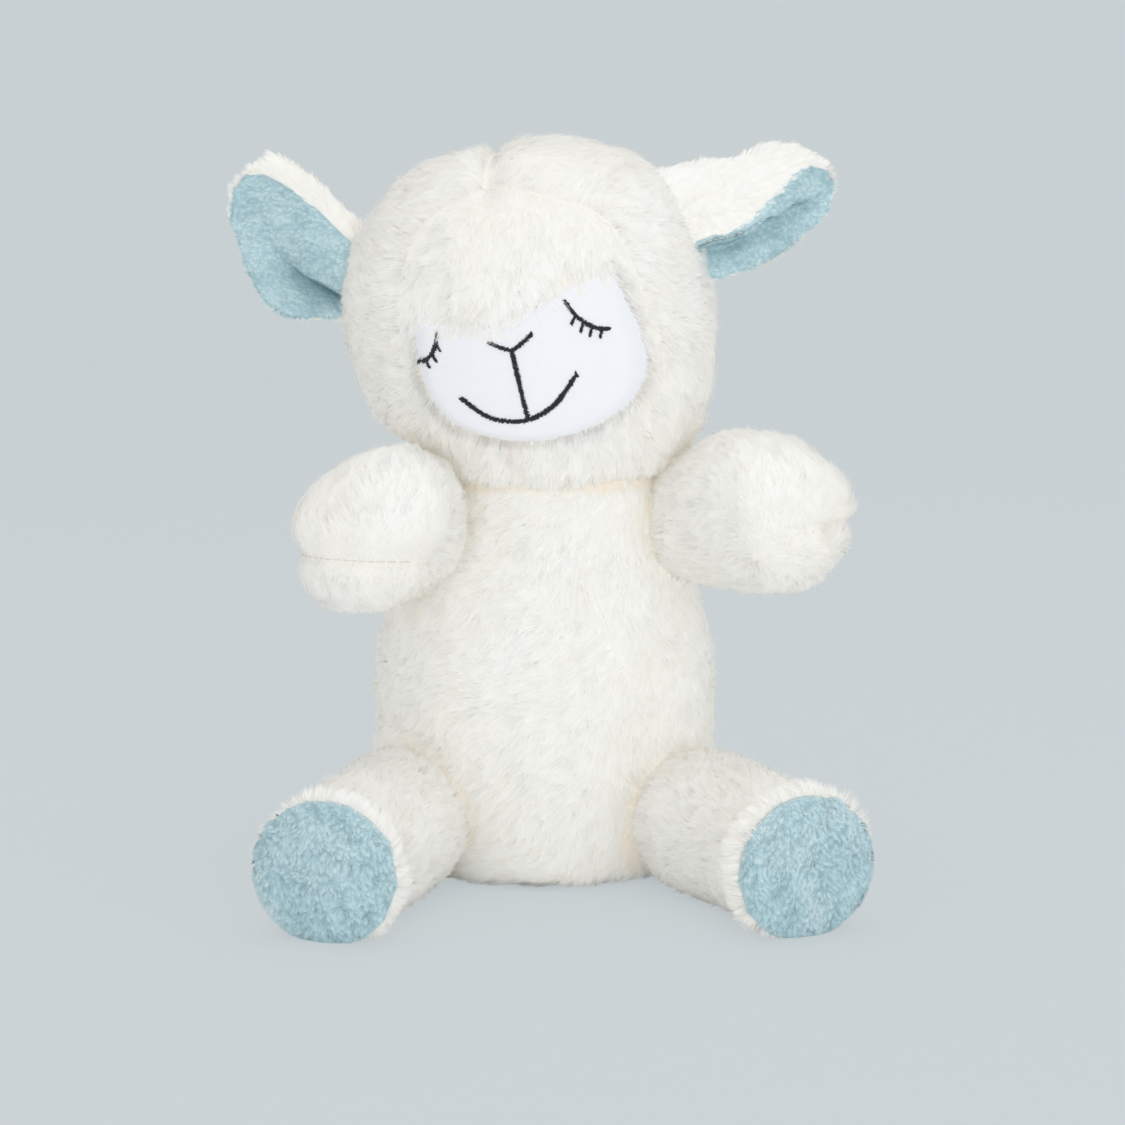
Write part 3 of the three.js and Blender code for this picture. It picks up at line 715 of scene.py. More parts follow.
def fur(
    name, body, skin, per_mm2, coat, flow, keep, tone, seed, length=everywhere(1.0),
    lift=everywhere(0.0), calm=everywhere(0.0), lined=None,
):
    """Grows strands from a skin, as one mesh of flat tapering ribbons that face outwards.

    Functions of places and normals say which way the strands are combed, which are kept, their tone
    from 0, painted shade in a crease, to 1, how much longer and higher they stand, and where they
    lie calm.
    """
    rng = np.random.default_rng(seed)
    field = sum(body.encode())  # the same swirls run on from each piece of a body to the next
    area = scatter(skin.data, 4, rng)[3]
    count = int(area / MM**2 * per_mm2 * STRANDS)
    roots, normals, weight, _ = scatter(skin.data, count, rng, lined)
    kept = keep(roots, normals) & (weight < 0.5)
    roots, normals = roots[kept], normals[kept]
    count = len(roots)

    way = flow(roots, normals)
    way = unit(way - normals * (way * normals).sum(1, keepdims=True))
    swing = coat.swirl * waves(roots, coat.swirl_size, field)
    swing += 0.35 * coat.swirl * waves(roots, coat.swirl_size / 3.2, field + 1)
    swing += rng.normal(0, 0.2, count)
    wild = 1 - calm(roots, normals)
    way = between(way, np.cross(normals, way), swing * wild)
    side = np.cross(normals, way)

    rise = coat.rise * (1 + 0.25 * waves(roots, 11 * MM, field + 2) + rng.normal(0, 0.15, count))
    rise = np.where(rng.random(count) < coat.loose, rise * rng.uniform(1.6, 2.8, count), rise)
    rise = rise + lift(roots, normals)
    # A strand that points to the front lies flat enough not to show its underside there.
    ahead, over = np.maximum(way @ NEARER, 1e-6), normals @ NEARER
    flat = np.where(over > 0, 0.8 * np.arctan2(over, ahead), math.pi)
    rise = np.clip(np.minimum(rise, flat), LEAST_RISE, MOST_RISE)
    long = coat.length * (1 + coat.ragged * (rng.random(count) - 0.6))
    long *= 1 + 0.12 * waves(roots, 21 * MM, field + 3)
    long *= length(roots, normals)
    middle = roots + between(way, normals, rise) * (long * BEND_AT)[:, None]
    tip = middle + between(way, normals, rise * coat.bend) * (long * (1 - BEND_AT))[:, None]

    # Tips gather into tufts about chosen strands.
    leaders = rng.choice(count, max(count // STRANDS_PER_TUFT, 1), replace=False)
    tree = kdtree.KDTree(len(leaders))
    for i, leader in enumerate(leaders):
        tree.insert(roots[leader], i)
    tree.balance()
    nearest = np.array([tree.find(root)[1] for root in roots])
    pull = tip[leaders[nearest]] - tip
    reach = np.linalg.norm(pull, axis=1, keepdims=True)
    outer = np.clip(reach[:, 0] / (2.4 * coat.clump), 0, 1)
    pull *= np.minimum(1, coat.clump / np.maximum(reach, 1e-9)) * GATHERED
    pull = pull * np.reshape(wild, (-1, 1))
    tip = tip + pull
    middle = middle + pull * 0.3

    roots = roots - normals * ROOTED
    for points in (roots, middle, tip):
        low = points[:, 2] < FLOOR
        points[low, 2] = FLOOR + rng.random(low.sum()) * 0.25 * MM
    wide = coat.width * (0.75 + 0.5 * rng.random(count))
    tilt = rng.normal(0, coat.tilt, count)
    half = between(side, normals, tilt) * (wide / 2)[:, None]
    bent = half * 0.9
    ribbons = np.stack([roots + half, roots - half, middle - bent, middle + bent, tip], 1)
    # Painted shade: strands are darker at a tuft's edge and lighter in its middle, on top of a
    # random tone.
    shade = tone(roots, normals) + rng.normal(0, 0.06, count) + coat.painted_tuft_shade * (0.45 - outer)
    shade = np.clip(shade, 0.02, 0.98)
    shade[0], shade[-1] = 0.02, 0.98  # so that the map is used from side to side
    tufts = rng.normal(0, 0.05, (len(leaders), 3))[nearest]
    lit = unit(normals + way * 0.2 + rng.normal(0, 0.07, (count, 3)) + tufts)

    piece = linked(name, ribbon_mesh(name, ribbons, shade, lit))
    # Light passes through fur: cream strands cast no shadow, and none takes light from the rest.
    piece.visible_shadow = coat.slot != "cream_fur"
    piece.visible_diffuse = False
    return finish_piece(piece, body, coat.material)


def clear_of(forms, margin=HIDDEN):
    """A test that keeps what isn't hidden inside these forms."""

    def keep(places, normals=None):
        kept = np.ones(len(places), bool)
        for form in forms:
            kept &= form.off(places) > margin
        return kept

    return keep


def tone_with_painted_crease_shade(forms, extra=None):
    """Tone in random patches, with painted warm shade in the creases where these forms meet the
    piece and along the seams that extra measures.
    """

    def tone(places, normals):
        near = np.full(len(places), 1.0)
        for form in forms:
            near = np.minimum(near, np.maximum(form.off(places), 0))
        if extra:
            near = np.minimum(near, extra(places))
        shade = 0.72 + 0.12 * waves(places, 40 * MM, 71) + 0.06 * waves(places, 12 * MM, 72)
        # Painted shade: the tone sinks towards a warm dark near a crease or seam.
        return shade - (shade - 0.12) * np.exp(-near / PAINTED_CREASE_SHADE_REACH)

    return tone


def pile_tone(bright, seed):
    """Pile that is mottled in large and in small patches."""

    def tone(places, normals):
        large, small = waves(places, 18 * MM, seed), waves(places, 3 * MM, seed + 1)
        return bright + 0.12 * large + 0.16 * small

    return tone


def quartered_fur(body, skin, per_mm2, flow, keep, middle, tone, seed, **more):
    """The cream fur of a large cover, as four pieces that part at a middle seen from above."""
    for i, (part, ways) in enumerate(QUARTERS.items()):

        def keep_quarter(places, normals):
            across, deep = ((places[:, k] > middle[k]) == (ways[k] > 0) for k in (0, 1))
            return keep(places) & across & deep

        name = f"{body}_fur_{part}"
        fur(name, body, skin, per_mm2, CREAM_COAT, flow, keep_quarter, tone, seed + i, **more)


# Torso
def torso_offset(places, normals):
    offset = lumps(places, 11)
    for form in [*limbs, fur_head]:
        offset += groove(form.off(places), 2.0 * MM, 5 * MM)
    return offset


def torso_flow(places, normals):
    across = -0.75 * (1 - np.clip(1.4 * normals[:, 0], 0, 1))
    return columns(across, 0.1, -0.65)


def torso_keep(places):
    return clear_of([*limbs, fur_head], JOINTED)(places) & (places[:, 2] > 1.2 * MM)


torso_skin = cream_skin(
    "torso_skin", "torso", torso_form, torso_offset, ("torso_cover", "torso_stuffing")
)
torso_tone = tone_with_painted_crease_shade([*limbs, fur_head])
quartered_fur("torso", torso_skin, 2.3, torso_flow, torso_keep, (0, 0), torso_tone, 21)


# Head
CROWN = 262 * MM  # how high the crown seam starts on the upright head
CROWN_FOLD = 266 * MM, 280 * MM  # where it deepens


def head_offset(places, normals):
    upright = lean.undo(places)
    front = upright[:, 1] < 0
    crown = smoothstep(upright[:, 2], *CROWN_FOLD)
    offset = lumps(places, 31)
    offset += np.where(front, groove(gusset_off(upright), 0.6 * MM, 3.2 * MM), 0)
    offset += groove(upright[:, 0] + 1 * MM, 4 * MM, 4.5 * MM) * crown
    offset += np.where(front, 0, groove(upright[:, 0], 1.4 * MM, 3 * MM)) * (1 - crown)
    return offset + torso_seam(places)


def head_flow(places, normals):
    """Away from the face, parted at the crown, and combed down over the forehead."""
    upright = lean.undo(places)
    away = unit((upright - [0, 0, 215 * MM]) * [1, 0.2, 1]) + [0, 0.25, -0.5]
    crown = np.clip((upright[:, 2] - CROWN) / (20 * MM), 0, 1)[:, None]
    parted = columns(np.sign(upright[:, 0] + 2.5 * MM), 0.2, -0.4)
    shaggy = np.clip((upright[:, 0] - 5 * MM) / (45 * MM), -0.8, 0.2)
    inside = (gusset_off(upright) < 3 * MM)[:, None]
    return np.where(inside, columns(shaggy, -0.2, -1), away * (1 - crown) + parted * crown)


def head_keep(places):
    upright = lean.undo(places)
    on_panel = (gusset_off(upright) < -4 * MM) & (panel_off(upright) < 0)
    return clear_of([torso_form], JOINTED)(places) & ~on_panel


def crown_off(upright):
    """How far places lie from the crown seam."""
    return np.where(upright[:, 2] > CROWN, np.abs(upright[:, 0]), 1.0)


# How far places lie from the face and crown seams, where painted warm shade falls on the fur.
def head_seams(places):
    upright = lean.undo(places)
    return np.minimum(np.abs(gusset_off(upright)) + 10 * MM, crown_off(upright) + 8 * MM)


def head_length(places, normals):
    """Short round the face, with a shaggy forelock that hangs over it."""
    upright = lean.undo(places)
    off, above = gusset_off(upright), panel_off(upright)
    fringe = np.exp(-np.abs(off) / (4 * MM)) * (above < 4 * MM)
    forelock = off < -1 * MM
    front = smoothstep(-upright[:, 1], 0, 20 * MM)
    shag = forelock * smoothstep(-above, -14 * MM, 0) * front
    return 1 - 0.35 * fringe * ~forelock + 0.42 * shag


def head_lift(places, normals):
    upright = lean.undo(places)
    off, above = gusset_off(upright), panel_off(upright)
    near = np.minimum(np.abs(off), crown_off(upright))
    lift = np.where(off < 3 * MM, 2, 6) * bell(near, 3.5 * MM)
    lift += 32 * (above < 0) * smoothstep(-off, -2 * MM, 2 * MM)
    lift += 20 * (off < 0) * bell(above, 6 * MM)
    return lift * DEGREE


head_skin = cream_skin(
    "head_skin", "head", fur_head, head_offset,
    ("head_cover", "forelock_panel", "head_stuffing"), rings=96, sides=144,
)
head_tone = tone_with_painted_crease_shade([torso_form, *arm_forms.values()], head_seams)
quartered_fur(
    "head", head_skin, 2.6, head_flow, head_keep, lean.centre, head_tone, 41,
    length=head_length, lift=head_lift,
)


# Face
def panel_outline(turns):
    """The edge of the face panel, across and up the upright head."""
    reach = gusset.far(turns)
    across = gusset.middle[0] + np.cos(turns) * reach
    high = gusset.middle[1] + np.sin(turns) * reach
    return across, np.minimum(high, panel_top(across) + 3 * MM)


FACE_LIFT = 1.5 * MM
PANEL_MIDDLE = 4 * MM, 204 * MM
PANEL_TUCK = 4.4 * MM  # how deep the panel's rim turns in under the fur


def face_panel():
    """A crowned pad on the front of the head, with a flatter back."""
    panel, start, turns = add_ball("face_panel_cloth", 52, 120)
    spread = np.arccos(np.abs(np.clip(start[:, 2], -1, 1))) / (math.pi / 2)
    across, high = (
        middle + (edge - middle) * spread
        for middle, edge in zip(PANEL_MIDDLE, panel_outline(turns))
    )
    crown = FACE_LIFT - PANEL_TUCK * smoothstep(spread, 0.84, 1.0)
    lift = np.where(start[:, 2] >= 0, crown, crown - 1.5 * MM * (1 - spread))
    set_places(panel.data, on_face(across, high, lift))
    face_outwards()
    smooth_and_leave()
    finish_piece(panel, "head", "short_pile", ("face_panel",))


face_panel()


# Threads
THREAD = 0.4 * MM  # how thick a thread is
PITCH = 0.3 * MM  # from one satin stitch to the next
SLANT = 0.5
THREAD_LIFT = FACE_LIFT - 0.05 * MM


def satin(points, width, seed):
    """Stitches laid side by side across a line on the face, each a short bowed thread."""
    rng = np.random.default_rng(seed)
    line = smoothed(np.array(points) * MM, 24)
    steps = np.linalg.norm(np.diff(line, axis=0), axis=1)
    along = np.concatenate([[0], np.cumsum(steps)])

    def on_line(at):
        return np.array([np.interp(at, along, line[:, k]) for k in range(2)])

    count = max(int(along[-1] / PITCH), 3)
    stitches = []
    for i in range(count):
        at = (i + 0.5) / count * along[-1]
        way = on_line(at + 0.2 * MM) - on_line(at - 0.2 * MM)
        way /= np.linalg.norm(way)
        side = np.array([-way[1], way[0]]) + way * SLANT
        side /= np.linalg.norm(side)
        half = width / 2 * (1 + rng.normal(0, 0.26))
        bow = []
        for share in np.linspace(-1, 1, 5):
            place = on_line(at) + side * half * share + rng.normal(0, 0.02 * MM, 2)
            sunk = 0.35 * MM * (abs(share) > 0.9)
            bow.append((*place, THREAD_LIFT + 0.55 * MM * (1 - share**2) - sunk))
        stitches.append(on_face(*np.array(bow).T))
    return stitches


def add_tube(vertices, faces, path, radius, sides):
    """Adds a closed tube along a path, tapered at its ends."""
    first = len(vertices)
    for k, place in enumerate(path):
        ahead = path[min(k + 1, len(path) - 1)] - path[max(k - 1, 0)]
        ahead /= max(np.linalg.norm(ahead), 1e-12)
        across = np.cross(ahead, [0.1, -1, 0.05])
        across /= max(np.linalg.norm(across), 1e-12)
        over = np.cross(across, ahead)
        thick = radius * (0.55 if k in (0, len(path) - 1) else 1)
        for j in range(sides):
            angle = j / sides * 2 * math.pi
            vertices.append(place + (across * math.cos(angle) + over * math.sin(angle)) * thick)
    for k in range(len(path) - 1):
        for j in range(sides):
            a = first + k * sides + j
            b = first + k * sides + (j + 1) % sides
            faces.append((a, b, b + sides, a + sides))
    faces.append(tuple(first + j for j in reversed(range(sides))))
    last = first + (len(path) - 1) * sides
    faces.append(tuple(last + j for j in range(sides)))


def thread_piece(name, paths, sides):
    """One piece of short threads, one along each path."""
    vertices, faces = [], []
    for path in paths:
        add_tube(vertices, faces, path, THREAD / 2, sides)
    mesh = bpy.data.meshes.new(name)
    mesh.from_pydata([tuple(v) for v in vertices], [], faces)
    mesh.update()
    mesh.polygons.foreach_set("use_smooth", [True] * len(mesh.polygons))
    return linked(name, mesh)


# Embroidery: how wide its lines are, and where they run, across and up the upright head
LID = 2.0 * MM
LINE = 2.5 * MM
LASH = 1.5 * MM
NOSE_TIP = (0, 215.5)
MOUTH_DIP = (0.3, 188.4)
mouth_line = [
    (-23.5, 201.2), (-14.4, 191.9), (-6.3, 188.7), MOUTH_DIP, (7, 190.3), (13.6, 194.2),
    (22, 202.4),
]
right_lid = [(22.6, 230.5), (25.2, 224.6), (28.3, 220.7), (31.7, 217.8), (36.9, 216)]
left_lid = [(-27.2, 227), (-29.4, 221.5), (-33.2, 217.6), (-37.6, 216.9)]
right_lashes = [
    [(25.4, 223.6), (23.4, 220.9)], [(27.9, 220.6), (26.1, 217.3)],
    [(30.6, 218.3), (29, 214.9)], [(34, 217), (32.6, 213.6)],
]
left_lashes = [
    [(-28.6, 222.4), (-27.4, 219.6)], [(-31, 219), (-29.8, 215.8)],
    [(-34, 217.2), (-33.2, 214)],
]
embroidery = {
    "mouth_embroidery": [(mouth_line, LINE)],
    "nose_embroidery": [
        ([(-8.4, 220.4), (-4.2, 217.6), NOSE_TIP], LINE * 0.8),
        ([(8.9, 220.6), (4.6, 217.8), NOSE_TIP], LINE * 0.9),
        ([NOSE_TIP, (0.2, 202), MOUTH_DIP], LINE),
    ],
    "left_eye_embroidery": [(left_lid, LID)] + [(lash, LASH) for lash in left_lashes],
    "right_eye_embroidery": [(right_lid, LID)] + [(lash, LASH) for lash in right_lashes],
}
for i, (node, lines) in enumerate(embroidery.items()):
    stitches = []
    for k, (points, width) in enumerate(lines):
        stitches += satin(points, width, 100 * i + k)
    stitched = thread_piece(node.replace("embroidery", "stitches"), stitches, 5)
    finish_piece(stitched, "head", "embroidery", (node,))


# Ears
# Rings from root to tip, each place across, up and towards the camera from the ear's joint, in
# millimetres: the top of the back, the seam with the lining, the fold's valley, and the low edge.
EAR_RINGS = {
    "left": [
        [9.0, 17.3, -2, 7.4, 9.5, 2, 4.8, -8.6, -6, 4.3, -20.2, 1],
        [4.7, 20.8, -1, 3.5, 11.9, 5, 0.6, -6.4, -12, -0.4, -18.2, 4],
        [-0.7, 25.5, -1, -4.3, 19.7, 4, -8.4, -1.2, -12, -15.2, -18.6, 4],
        [-6.6, 32.2, -1, -11.3, 26.3, 3, -17.6, 3.0, -8, -26.1, -13.9, 3],
        [-13.2, 36.8, -1, -17.5, 31.4, 2, -25.0, 9.0, -1, -33.1, -4.1, 1],
        [-19.9, 41.9, -1, -24.2, 34.9, 1, -30.2, 19.9, -1, -37.4, 8.0, 0],
        [-26.1, 43.9, -1, -30.0, 37.6, 1, -35.1, 27.5, -1, -41.3, 18.9, 0],
        [-32.8, 41.9, -1, -35.9, 38.4, 0, -39.4, 33.7, 0, -43.7, 27.5, 0],
    ],
    "right": [
        [-22.2, 9.9, 3, -3.0, -15.5, 10, -1.5, -16.3, -2, 0.1, -29.3, -2],
        [-13.0, 12.9, 4, 3.1, -13.6, 12, 4.7, -14.3, -5, 5.8, -27.0, -2],
        [0.8, 16.0, 4, 13.9, -10.5, 12, 14.7, -11.7, -5, 18.9, -24.0, -2],
        [14.3, 17.2, 3, 23.9, -1.3, 9, 25.8, -4.7, -4, 29.7, -18.6, -1],
        [24.7, 22.2, 2, 32.4, 8.3, 7, 36.2, 0.6, -3, 39.3, -11.3, 0],
        [35.6, 23.0, 1, 40.4, 14.2, 5, 44.7, 3.2, -1, 47.7, -3.8, 0],
        [46.4, 20.6, 0, 49.2, 15.8, 2, 51.8, 7.6, 0, 53.8, 3.6, 0],
    ],
}
EAR_LINED = 4 / 11  # how much of a ring the lining takes
EAR_RING = 66
EAR_ROWS = 56
ACROSS = np.array([1.0, 0, 0])
UPWARD = np.array([0, math.sin(CAMERA_RISE), math.cos(CAMERA_RISE)])


def with_depth(place, depth):
    return np.array([place[0], place[1], depth])


class Ear:
    """A folded ear: one closed form whose rings run from the lining's edge over it and behind."""

    def __init__(self, side):
        rows = smoothed(EAR_RINGS[side], 8)
        grow = np.linspace(0, 1, len(rows))
        body = np.sqrt(np.clip((1 - grow) / 0.16, 0, 1))  # how full a ring still is near the tip
        rings = []
        for row, full in zip(rows, body):
            top, seam, valley, low = row.reshape(4, 3)
            middle = (top + low) / 2
            back = 5.5 * full
            fold = np.clip((seam[2] - valley[2]) / 14, 0, 1)
            places = [
                low,
                (low + valley) / 2 + [0, 0, 1.5 * fold],
                valley,
                valley
                + (seam - valley) * np.array([1, 1, 0]) * (0.32 - 0.34 * fold)
                + [0, 0, (seam[2] - valley[2]) * (0.4 + 0.5 * fold) + 2.5 * fold],
                seam,
                (top + seam) / 2 + [0, 0, 1.6 * full],
                top + [0, 0, -1.5 * full],
                top + (low - top) * 0.22 + [0, 0, -1.2 * back],
                with_depth(middle, min(middle[2], valley[2]) - back),
                with_depth(valley, valley[2] - 0.9 * back) + (low - top) * 0.04 * fold,
                (valley + low) / 2 + [0, -2.5 * fold, -0.6 * back],
            ]
            centre = middle + [0, 0, -back / 2]
            places = centre + (np.array(places) - centre) * (0.25 + 0.75 * full)
            rings.append(closed_ring(places, EAR_RING // 11))
        rings = np.array(rings) * MM
        base = np.array(joints[f"{side}_ear_flop"]["pos_m"])
        self.rings = base + rings @ np.array([ACROSS, UPWARD, NEARER])

    def place(self, angle, share):
        row = np.clip(share, 0, 1) * (len(self.rings) - 1)
        column = (angle / (2 * math.pi) % 1) * EAR_RING
        low_row = np.minimum(row.astype(int), len(self.rings) - 2)
        left = column.astype(int) % EAR_RING
        right = (left + 1) % EAR_RING
        down, over = (row - low_row)[:, None], (column % 1)[:, None]
        lower = self.rings[low_row, left] * (1 - over) + self.rings[low_row, right] * over
        upper = self.rings[low_row + 1, left] * (1 - over) + self.rings[low_row + 1, right] * over
        return lower * (1 - down) + upper * down


def lining_cloth(side, ear):
    """The lining: a strip of cloth on the front of the ear, with its edge turned in."""
    bpy.ops.mesh.primitive_grid_add(x_subdivisions=32, y_subdivisions=EAR_ROWS, size=2)
    cloth = bpy.context.object
    cloth.name = f"{side}_ear_front"
    start = places_of(cloth.data)
    angle = (start[:, 0] + 1) / 2 * EAR_LINED * 2 * math.pi
    set_places(cloth.data, ear.place(angle, (start[:, 1] + 1) / 2))
    facing = normals_of(cloth.data)
    if (facing @ NEARER).mean() <= 0:
        cloth.data.flip_normals()
        facing = -facing
    set_places(cloth.data, places_of(cloth.data) + facing * 0.5 * MM)
    wall = cloth.modifiers.new("wall", "SOLIDIFY")
    wall.thickness = 1.0 * MM
    wall.offset = -1
    bpy.ops.object.modifier_apply(modifier="wall")
    smooth_and_leave()
    return cloth


def ear_length(places, normals):
    """Short where the fur turns over the ear's edges."""
    return 0.3 + 0.7 * smoothstep(np.abs(normals @ NEARER), 0.05, 0.3)


ball, _, turns = add_ball("ear_ball", EAR_ROWS, EAR_RING)
bpy.data.objects.remove(ball)
turns = turns / (2 * math.pi) % 1
lined = (turns > 0.002) & (turns < EAR_LINED - 0.002)
for side in SIDES:
    body = f"{side}_ear"
    ear = Ear(side)
    along = unit((ear.rings[-1] - ear.rings[8]).mean(0)[None])[0]

    def ear_flow(places, normals):
        turned_in = np.where(normals @ NEARER < -0.5, -0.35, 0.35)
        return along - (along @ NEARER + turned_in)[:, None] * NEARER

    back = cream_skin(
        f"{side}_ear_back", body, ear, None, (f"{side}_ear_cover",), fill=0.5, rings=EAR_ROWS,
        sides=EAR_RING,
    )
    lining = lining_cloth(side, ear)
    finish_piece(lining, body, "blue_backing", (f"{side}_ear_lining",))
    fur(
        f"{side}_ear_fur", body, back, 4.2, EAR_COAT, ear_flow, clear_of([fur_head]),
        tone_with_painted_crease_shade([]), 61 + SIDES[side], length=ear_length, lined=lined.astype(float),
    )
    fur(
        f"{side}_ear_pile", body, back, 11.0, BLUE_COAT,
        lambda p, n: along - [0, 0, 0.9] + 0 * p, clear_of([fur_head]), pile_tone(0.5, 5),
        65 + SIDES[side], lined=1.0 - lined,
    )

# Arms
CLEFT_HEIGHT = -8 * MM
SEAM_SHORT = {"left": 0.55, "right": 0.1}
SEAM_TURN = {"left": (-0.1 * MM, 0.1 * MM), "right": (-6 * MM, 22 * MM)}
STITCH_LONG = 2.6 * MM
STITCH_GAP = 0.7 * MM


def cleft_off(side, places):
    """How far places lie over the mitten's closing seam, and how far along the arm they are."""
    local = turned(arm_frames[side].inverted(), places)
    return local[:, 1] - CLEFT_HEIGHT, local[:, 2]


def near_cleft(over, ahead):
    return np.exp(-((over / (6.5 * MM)) ** 4)) * smoothstep(ahead, 40 * MM, 56 * MM)


def closing_stitches(side, skin):
    """Running stitches along the seam that closes a mitten, each a short bowed thread."""
    matrix = arm_frames[side]
    tree = bvhtree.BVHTree.FromPolygons(
        places_of(skin.data).tolist(), [tuple(face.vertices) for face in skin.data.polygons]
    )
    back = matrix.to_3x3() @ Vector((0, 0, -1))
    rng = np.random.default_rng(5)
    paths = []
    for start in np.arange(-23 * MM, 21 * MM, STITCH_LONG + STITCH_GAP):
        path = []
        for share in (0, 0.2, 0.5, 0.8, 1):
            from_place = matrix @ Vector((start + share * STITCH_LONG, CLEFT_HEIGHT, 0.2))
            hit = tree.ray_cast(from_place, back)[0]
            if hit is not None:
                bow = (0.25 + 0.35 * math.sin(share * math.pi)) * MM
                path.append(np.array(hit - back * bow) + rng.normal(0, 0.03 * MM, 3))
        if len(path) == 5:
            paths.append(np.array(path))
    return thread_piece(f"{side}_mitten_stitches", paths, 6)


for side in SIDES:
    body = f"{side}_arm"

    def arm_offset(places, normals):
        over, ahead = cleft_off(side, places)
        offset = lumps(places, 51 + SIDES[side])
        offset += groove(over, 2.6 * MM, 4.2 * MM) * smoothstep(ahead, 30 * MM, 52 * MM)
        return offset + torso_seam(places)

    def arm_flow(places, normals):
        over, ahead = cleft_off(side, places)
        end = smoothstep(ahead, 34 * MM, 60 * MM)[:, None]
        matrix = np.array(arm_frames[side].to_3x3())
        turn = math.pi * smoothstep(-over, *SEAM_TURN[side])[:, None]
        away = (np.cos(turn) * matrix[:, 1] + np.sin(turn) * matrix[:, 0]) * end
        return -matrix[:, 2] * (1 - end) + away

    def arm_tone(places, normals):
        across = turned(arm_frames[side].inverted(), places)[:, 0]
        # Painted shade near the mitten's closing seam, in fine darker lines where its cloth
        # gathers.
        painted_gather_shade = np.sin(across / (2.1 * MM) * 2 * math.pi + 2.5 * waves(places, 20 * MM, 57))
        plain = tone_with_painted_crease_shade([torso_form, fur_head])(places, normals)
        return plain - near_cleft(*cleft_off(side, places)) * (0.04 + 0.1 * painted_gather_shade)

    def arm_length(places, normals):
        return 1 - SEAM_SHORT[side] * near_cleft(*cleft_off(side, places))

    def arm_calm(places, normals):
        return near_cleft(*cleft_off(side, places))

    nodes = f"{side}_arm_cover", f"{side}_arm_stuffing"
    skin = cream_skin(f"{side}_arm_skin", body, arm_forms[side], arm_offset, nodes)
    fur(
        f"{side}_arm_fur", body, skin, 2.9, CREAM_COAT, arm_flow,
        clear_of([torso_form, fur_head], JOINTED), arm_tone, 71 + SIDES[side],
        length=arm_length, calm=arm_calm,
    )
    stitched = closing_stitches(side, skin)
    finish_piece(stitched, body, "closing_thread", (f"{side}_mitten_stitch",))

# Legs
SOLE_START = 93 * MM

for side in SIDES:
    body = f"{side}_leg"
    into = leg_frames[side].inverted()
    along = np.array(leg_frames[side].to_3x3().col[2])

    def sole_near(places):
        return smoothstep(turned(into, places)[:, 2], SOLE_START - 11 * MM, SOLE_START)

    def leg_offset(places, normals):
        ahead = turned(into, places)[:, 2]
        offset = lumps(places, 81 + SIDES[side])
        offset += groove(ahead - SOLE_START, 2.2 * MM, 2.5 * MM)
        offset += 1.6 * MM * smoothstep(ahead, SOLE_START, SOLE_START + 4 * MM)
        return offset + torso_seam(places)

    def leg_keep(places, normals):
        off_sole = turned(into, places)[:, 2] < SOLE_START + 3 * MM
        return clear_of([torso_form], JOINTED)(places) & off_sole & (places[:, 2] > 0.8 * MM)

    nodes = f"{side}_leg_cover", f"{side}_leg_stuffing"
    skin = cream_skin(f"{side}_leg_skin", body, leg_forms[side], leg_offset, nodes)
    fur(
        f"{side}_leg_fur", body, skin, 2.6, CREAM_COAT,
        lambda p, n: along * (1.7 * sole_near(p)[:, None] ** 3 - 1), leg_keep,
        tone_with_painted_crease_shade([torso_form]), 91 + SIDES[side],
        length=lambda p, n: 1 + 0.65 * sole_near(p),
        lift=lambda p, n: (44 + 28 * waves(p, 7 * MM, 9)) * DEGREE * sole_near(p),
    )

# Sole pads
SOLE_WIDE = 27.4 * MM
SOLE_HIGH = 26.6 * MM


class Sole:
    """A domed pad on the end of a leg: its front swells, and its back lies in the leg."""

    def __init__(self, side):
        self.matrix = leg_frames[side]

    def place(self, angle, share):
        spread = np.sin(share * math.pi)
        dome = np.sqrt(np.maximum(1 - spread**2.6, 0))
        front = SOLE_START - 1.5 * MM + 6.5 * MM * dome
        rise = np.where(share > 0.5, front, SOLE_START - 3 * MM)
        across = np.cos(angle) * spread * SOLE_WIDE
        return turned(self.matrix, columns(across, np.sin(angle) * spread * SOLE_HIGH, rise))


for side in SIDES:
    body = f"{side}_leg"
    pad = stuffed_skin(f"{side}_sole_cloth", Sole(side), rings=48, sides=72)
    finish_piece(pad, body, "blue_backing", (f"{side}_sole_pad",))
    facing = np.array(leg_frames[side].to_3x3().col[2])
    fur(
        f"{side}_sole_pile", body, pad, 10.0, BLUE_COAT,
        lambda p, n: 0.5 * unit(p - p.mean(0)) + 0.6 * facing - [0, 0, 0.8],
        lambda p, n: n @ facing > 0.05, pile_tone(0.55, 7), 95 + SIDES[side],
    )

# What stays inside
for node in ("pellet_pouch", "neck_wad"):
    clothe(frame["nodes"][node], "inner_cloth")


# Floor, backdrop and lights
FLOOR_TONE = (0.9, 0.915, 0.925, 1)
WALL_TONE = (0.548, 0.604, 0.629, 1)
AROUND_TONE = (0.59, 0.637, 0.657, 1)
STUDIO_TONE = (0.99, 0.99, 0.98, 1)
LAMP_TONE = (0.97, 0.985, 1)
STUDIO_STRENGTH = 0.735
EVENED = 0.78  # how much the camera sees of the wall's even tone, rather than its light
WALL_STARTS, WALL_BEND = 1.6, 1.0  # how far back the floor starts to curve up, and how widely
LAMPS_AIM = Vector((0, 0, 0.13))


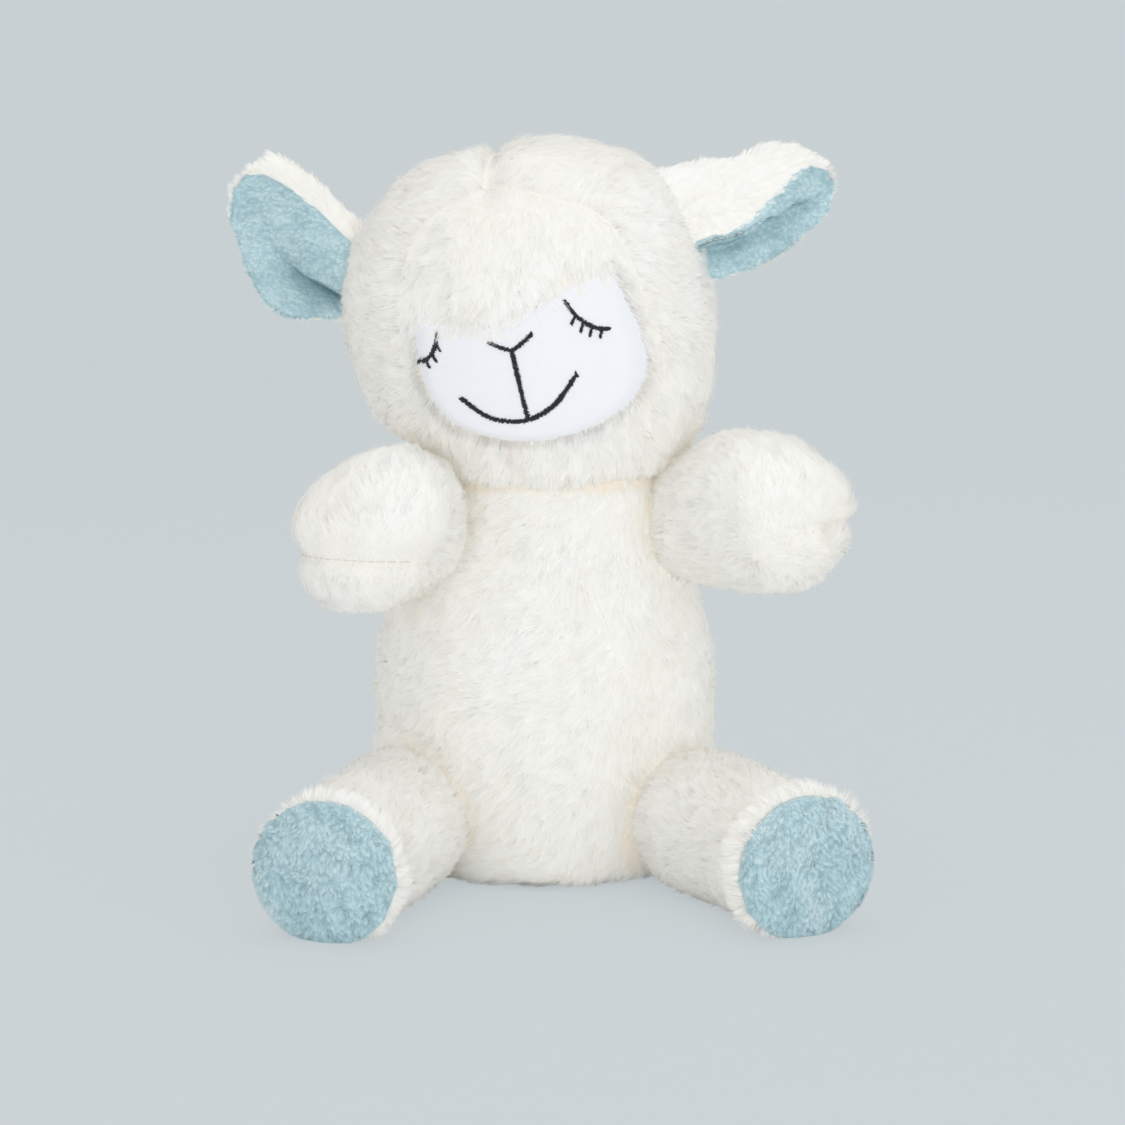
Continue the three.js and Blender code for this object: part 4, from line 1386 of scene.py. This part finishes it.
def backdrop():
    """A seamless sheet: a floor that curves up into a wall behind."""
    bpy.ops.mesh.primitive_plane_add(size=6, location=(0, 0, 0))
    sheet = bpy.context.object
    sheet.name = "backdrop"
    bpy.ops.object.mode_set(mode="EDIT")
    bpy.ops.mesh.subdivide(number_cuts=60)
    bpy.ops.object.mode_set(mode="OBJECT")
    places = places_of(sheet.data)
    past = np.maximum(places[:, 1] - WALL_STARTS, 0)
    angle = np.minimum(past / WALL_BEND, math.pi / 2)
    rest = past - angle * WALL_BEND
    places[:, 1] = np.minimum(places[:, 1], WALL_STARTS) + WALL_BEND * np.sin(angle)
    places[:, 2] += WALL_BEND * (1 - np.cos(angle)) + rest
    set_places(sheet.data, places)
    smooth_and_leave()
    material, start, shader = new_material("backdrop", 0.9)
    shader.inputs["Base Color"].default_value = FLOOR_TONE
    shader.inputs["Specular IOR Level"].default_value = 0.0
    even = start.out("ShaderNodeEmission", Color=WALL_TONE, Strength=1.0)
    seen = start.out("ShaderNodeLightPath")
    lit = Shade(start.tree, shader.outputs[0])
    mixed = start.out("ShaderNodeMixShader", i0=seen * EVENED, i1=lit, i2=even)
    mixed.plug(start.tree.nodes["Material Output"].inputs["Surface"])
    sheet.data.materials.append(material)


def softbox(name, place, size, power):
    turn = (LAMPS_AIM - Vector(place)).to_track_quat("-Z", "Y").to_euler()
    bpy.ops.object.light_add(type="AREA", location=place, rotation=turn)
    lamp = bpy.context.object
    lamp.name = name
    lamp.data.shape = "SQUARE"
    lamp.data.size = size
    lamp.data.energy = power
    lamp.data.color = LAMP_TONE
    deselect()


def studio_world():
    """Even light from all round, which the camera sees in another tone."""
    world = bpy.data.worlds.new("studio")
    bpy.context.scene.world = world
    world.use_nodes = True
    sky = Shade(world.node_tree)
    studio = world.node_tree.nodes["Background"]
    studio.inputs["Color"].default_value = STUDIO_TONE
    studio.inputs["Strength"].default_value = STUDIO_STRENGTH
    around = sky.out("ShaderNodeBackground", Color=AROUND_TONE, Strength=1.0)
    seen = sky.out("ShaderNodeLightPath")
    lit = Shade(sky.tree, studio.outputs[0])
    chosen = sky.out("ShaderNodeMixShader", i0=seen, i1=lit, i2=around)
    chosen.plug(world.node_tree.nodes["World Output"].inputs["Surface"])


backdrop()
softbox("key_light", (1.2, -1.7, 0.85), 1.8, 2)
softbox("fill_light", (-1.3, -1.6, 0.95), 1.8, 1)
softbox("low_light", (0.3, -1.6, 0.28), 0.5, 4.6)
softbox("top_light", (0.1, -0.1, 2.0), 1.6, 6)
studio_world()
bpy.context.scene.view_settings.view_transform = "Standard"
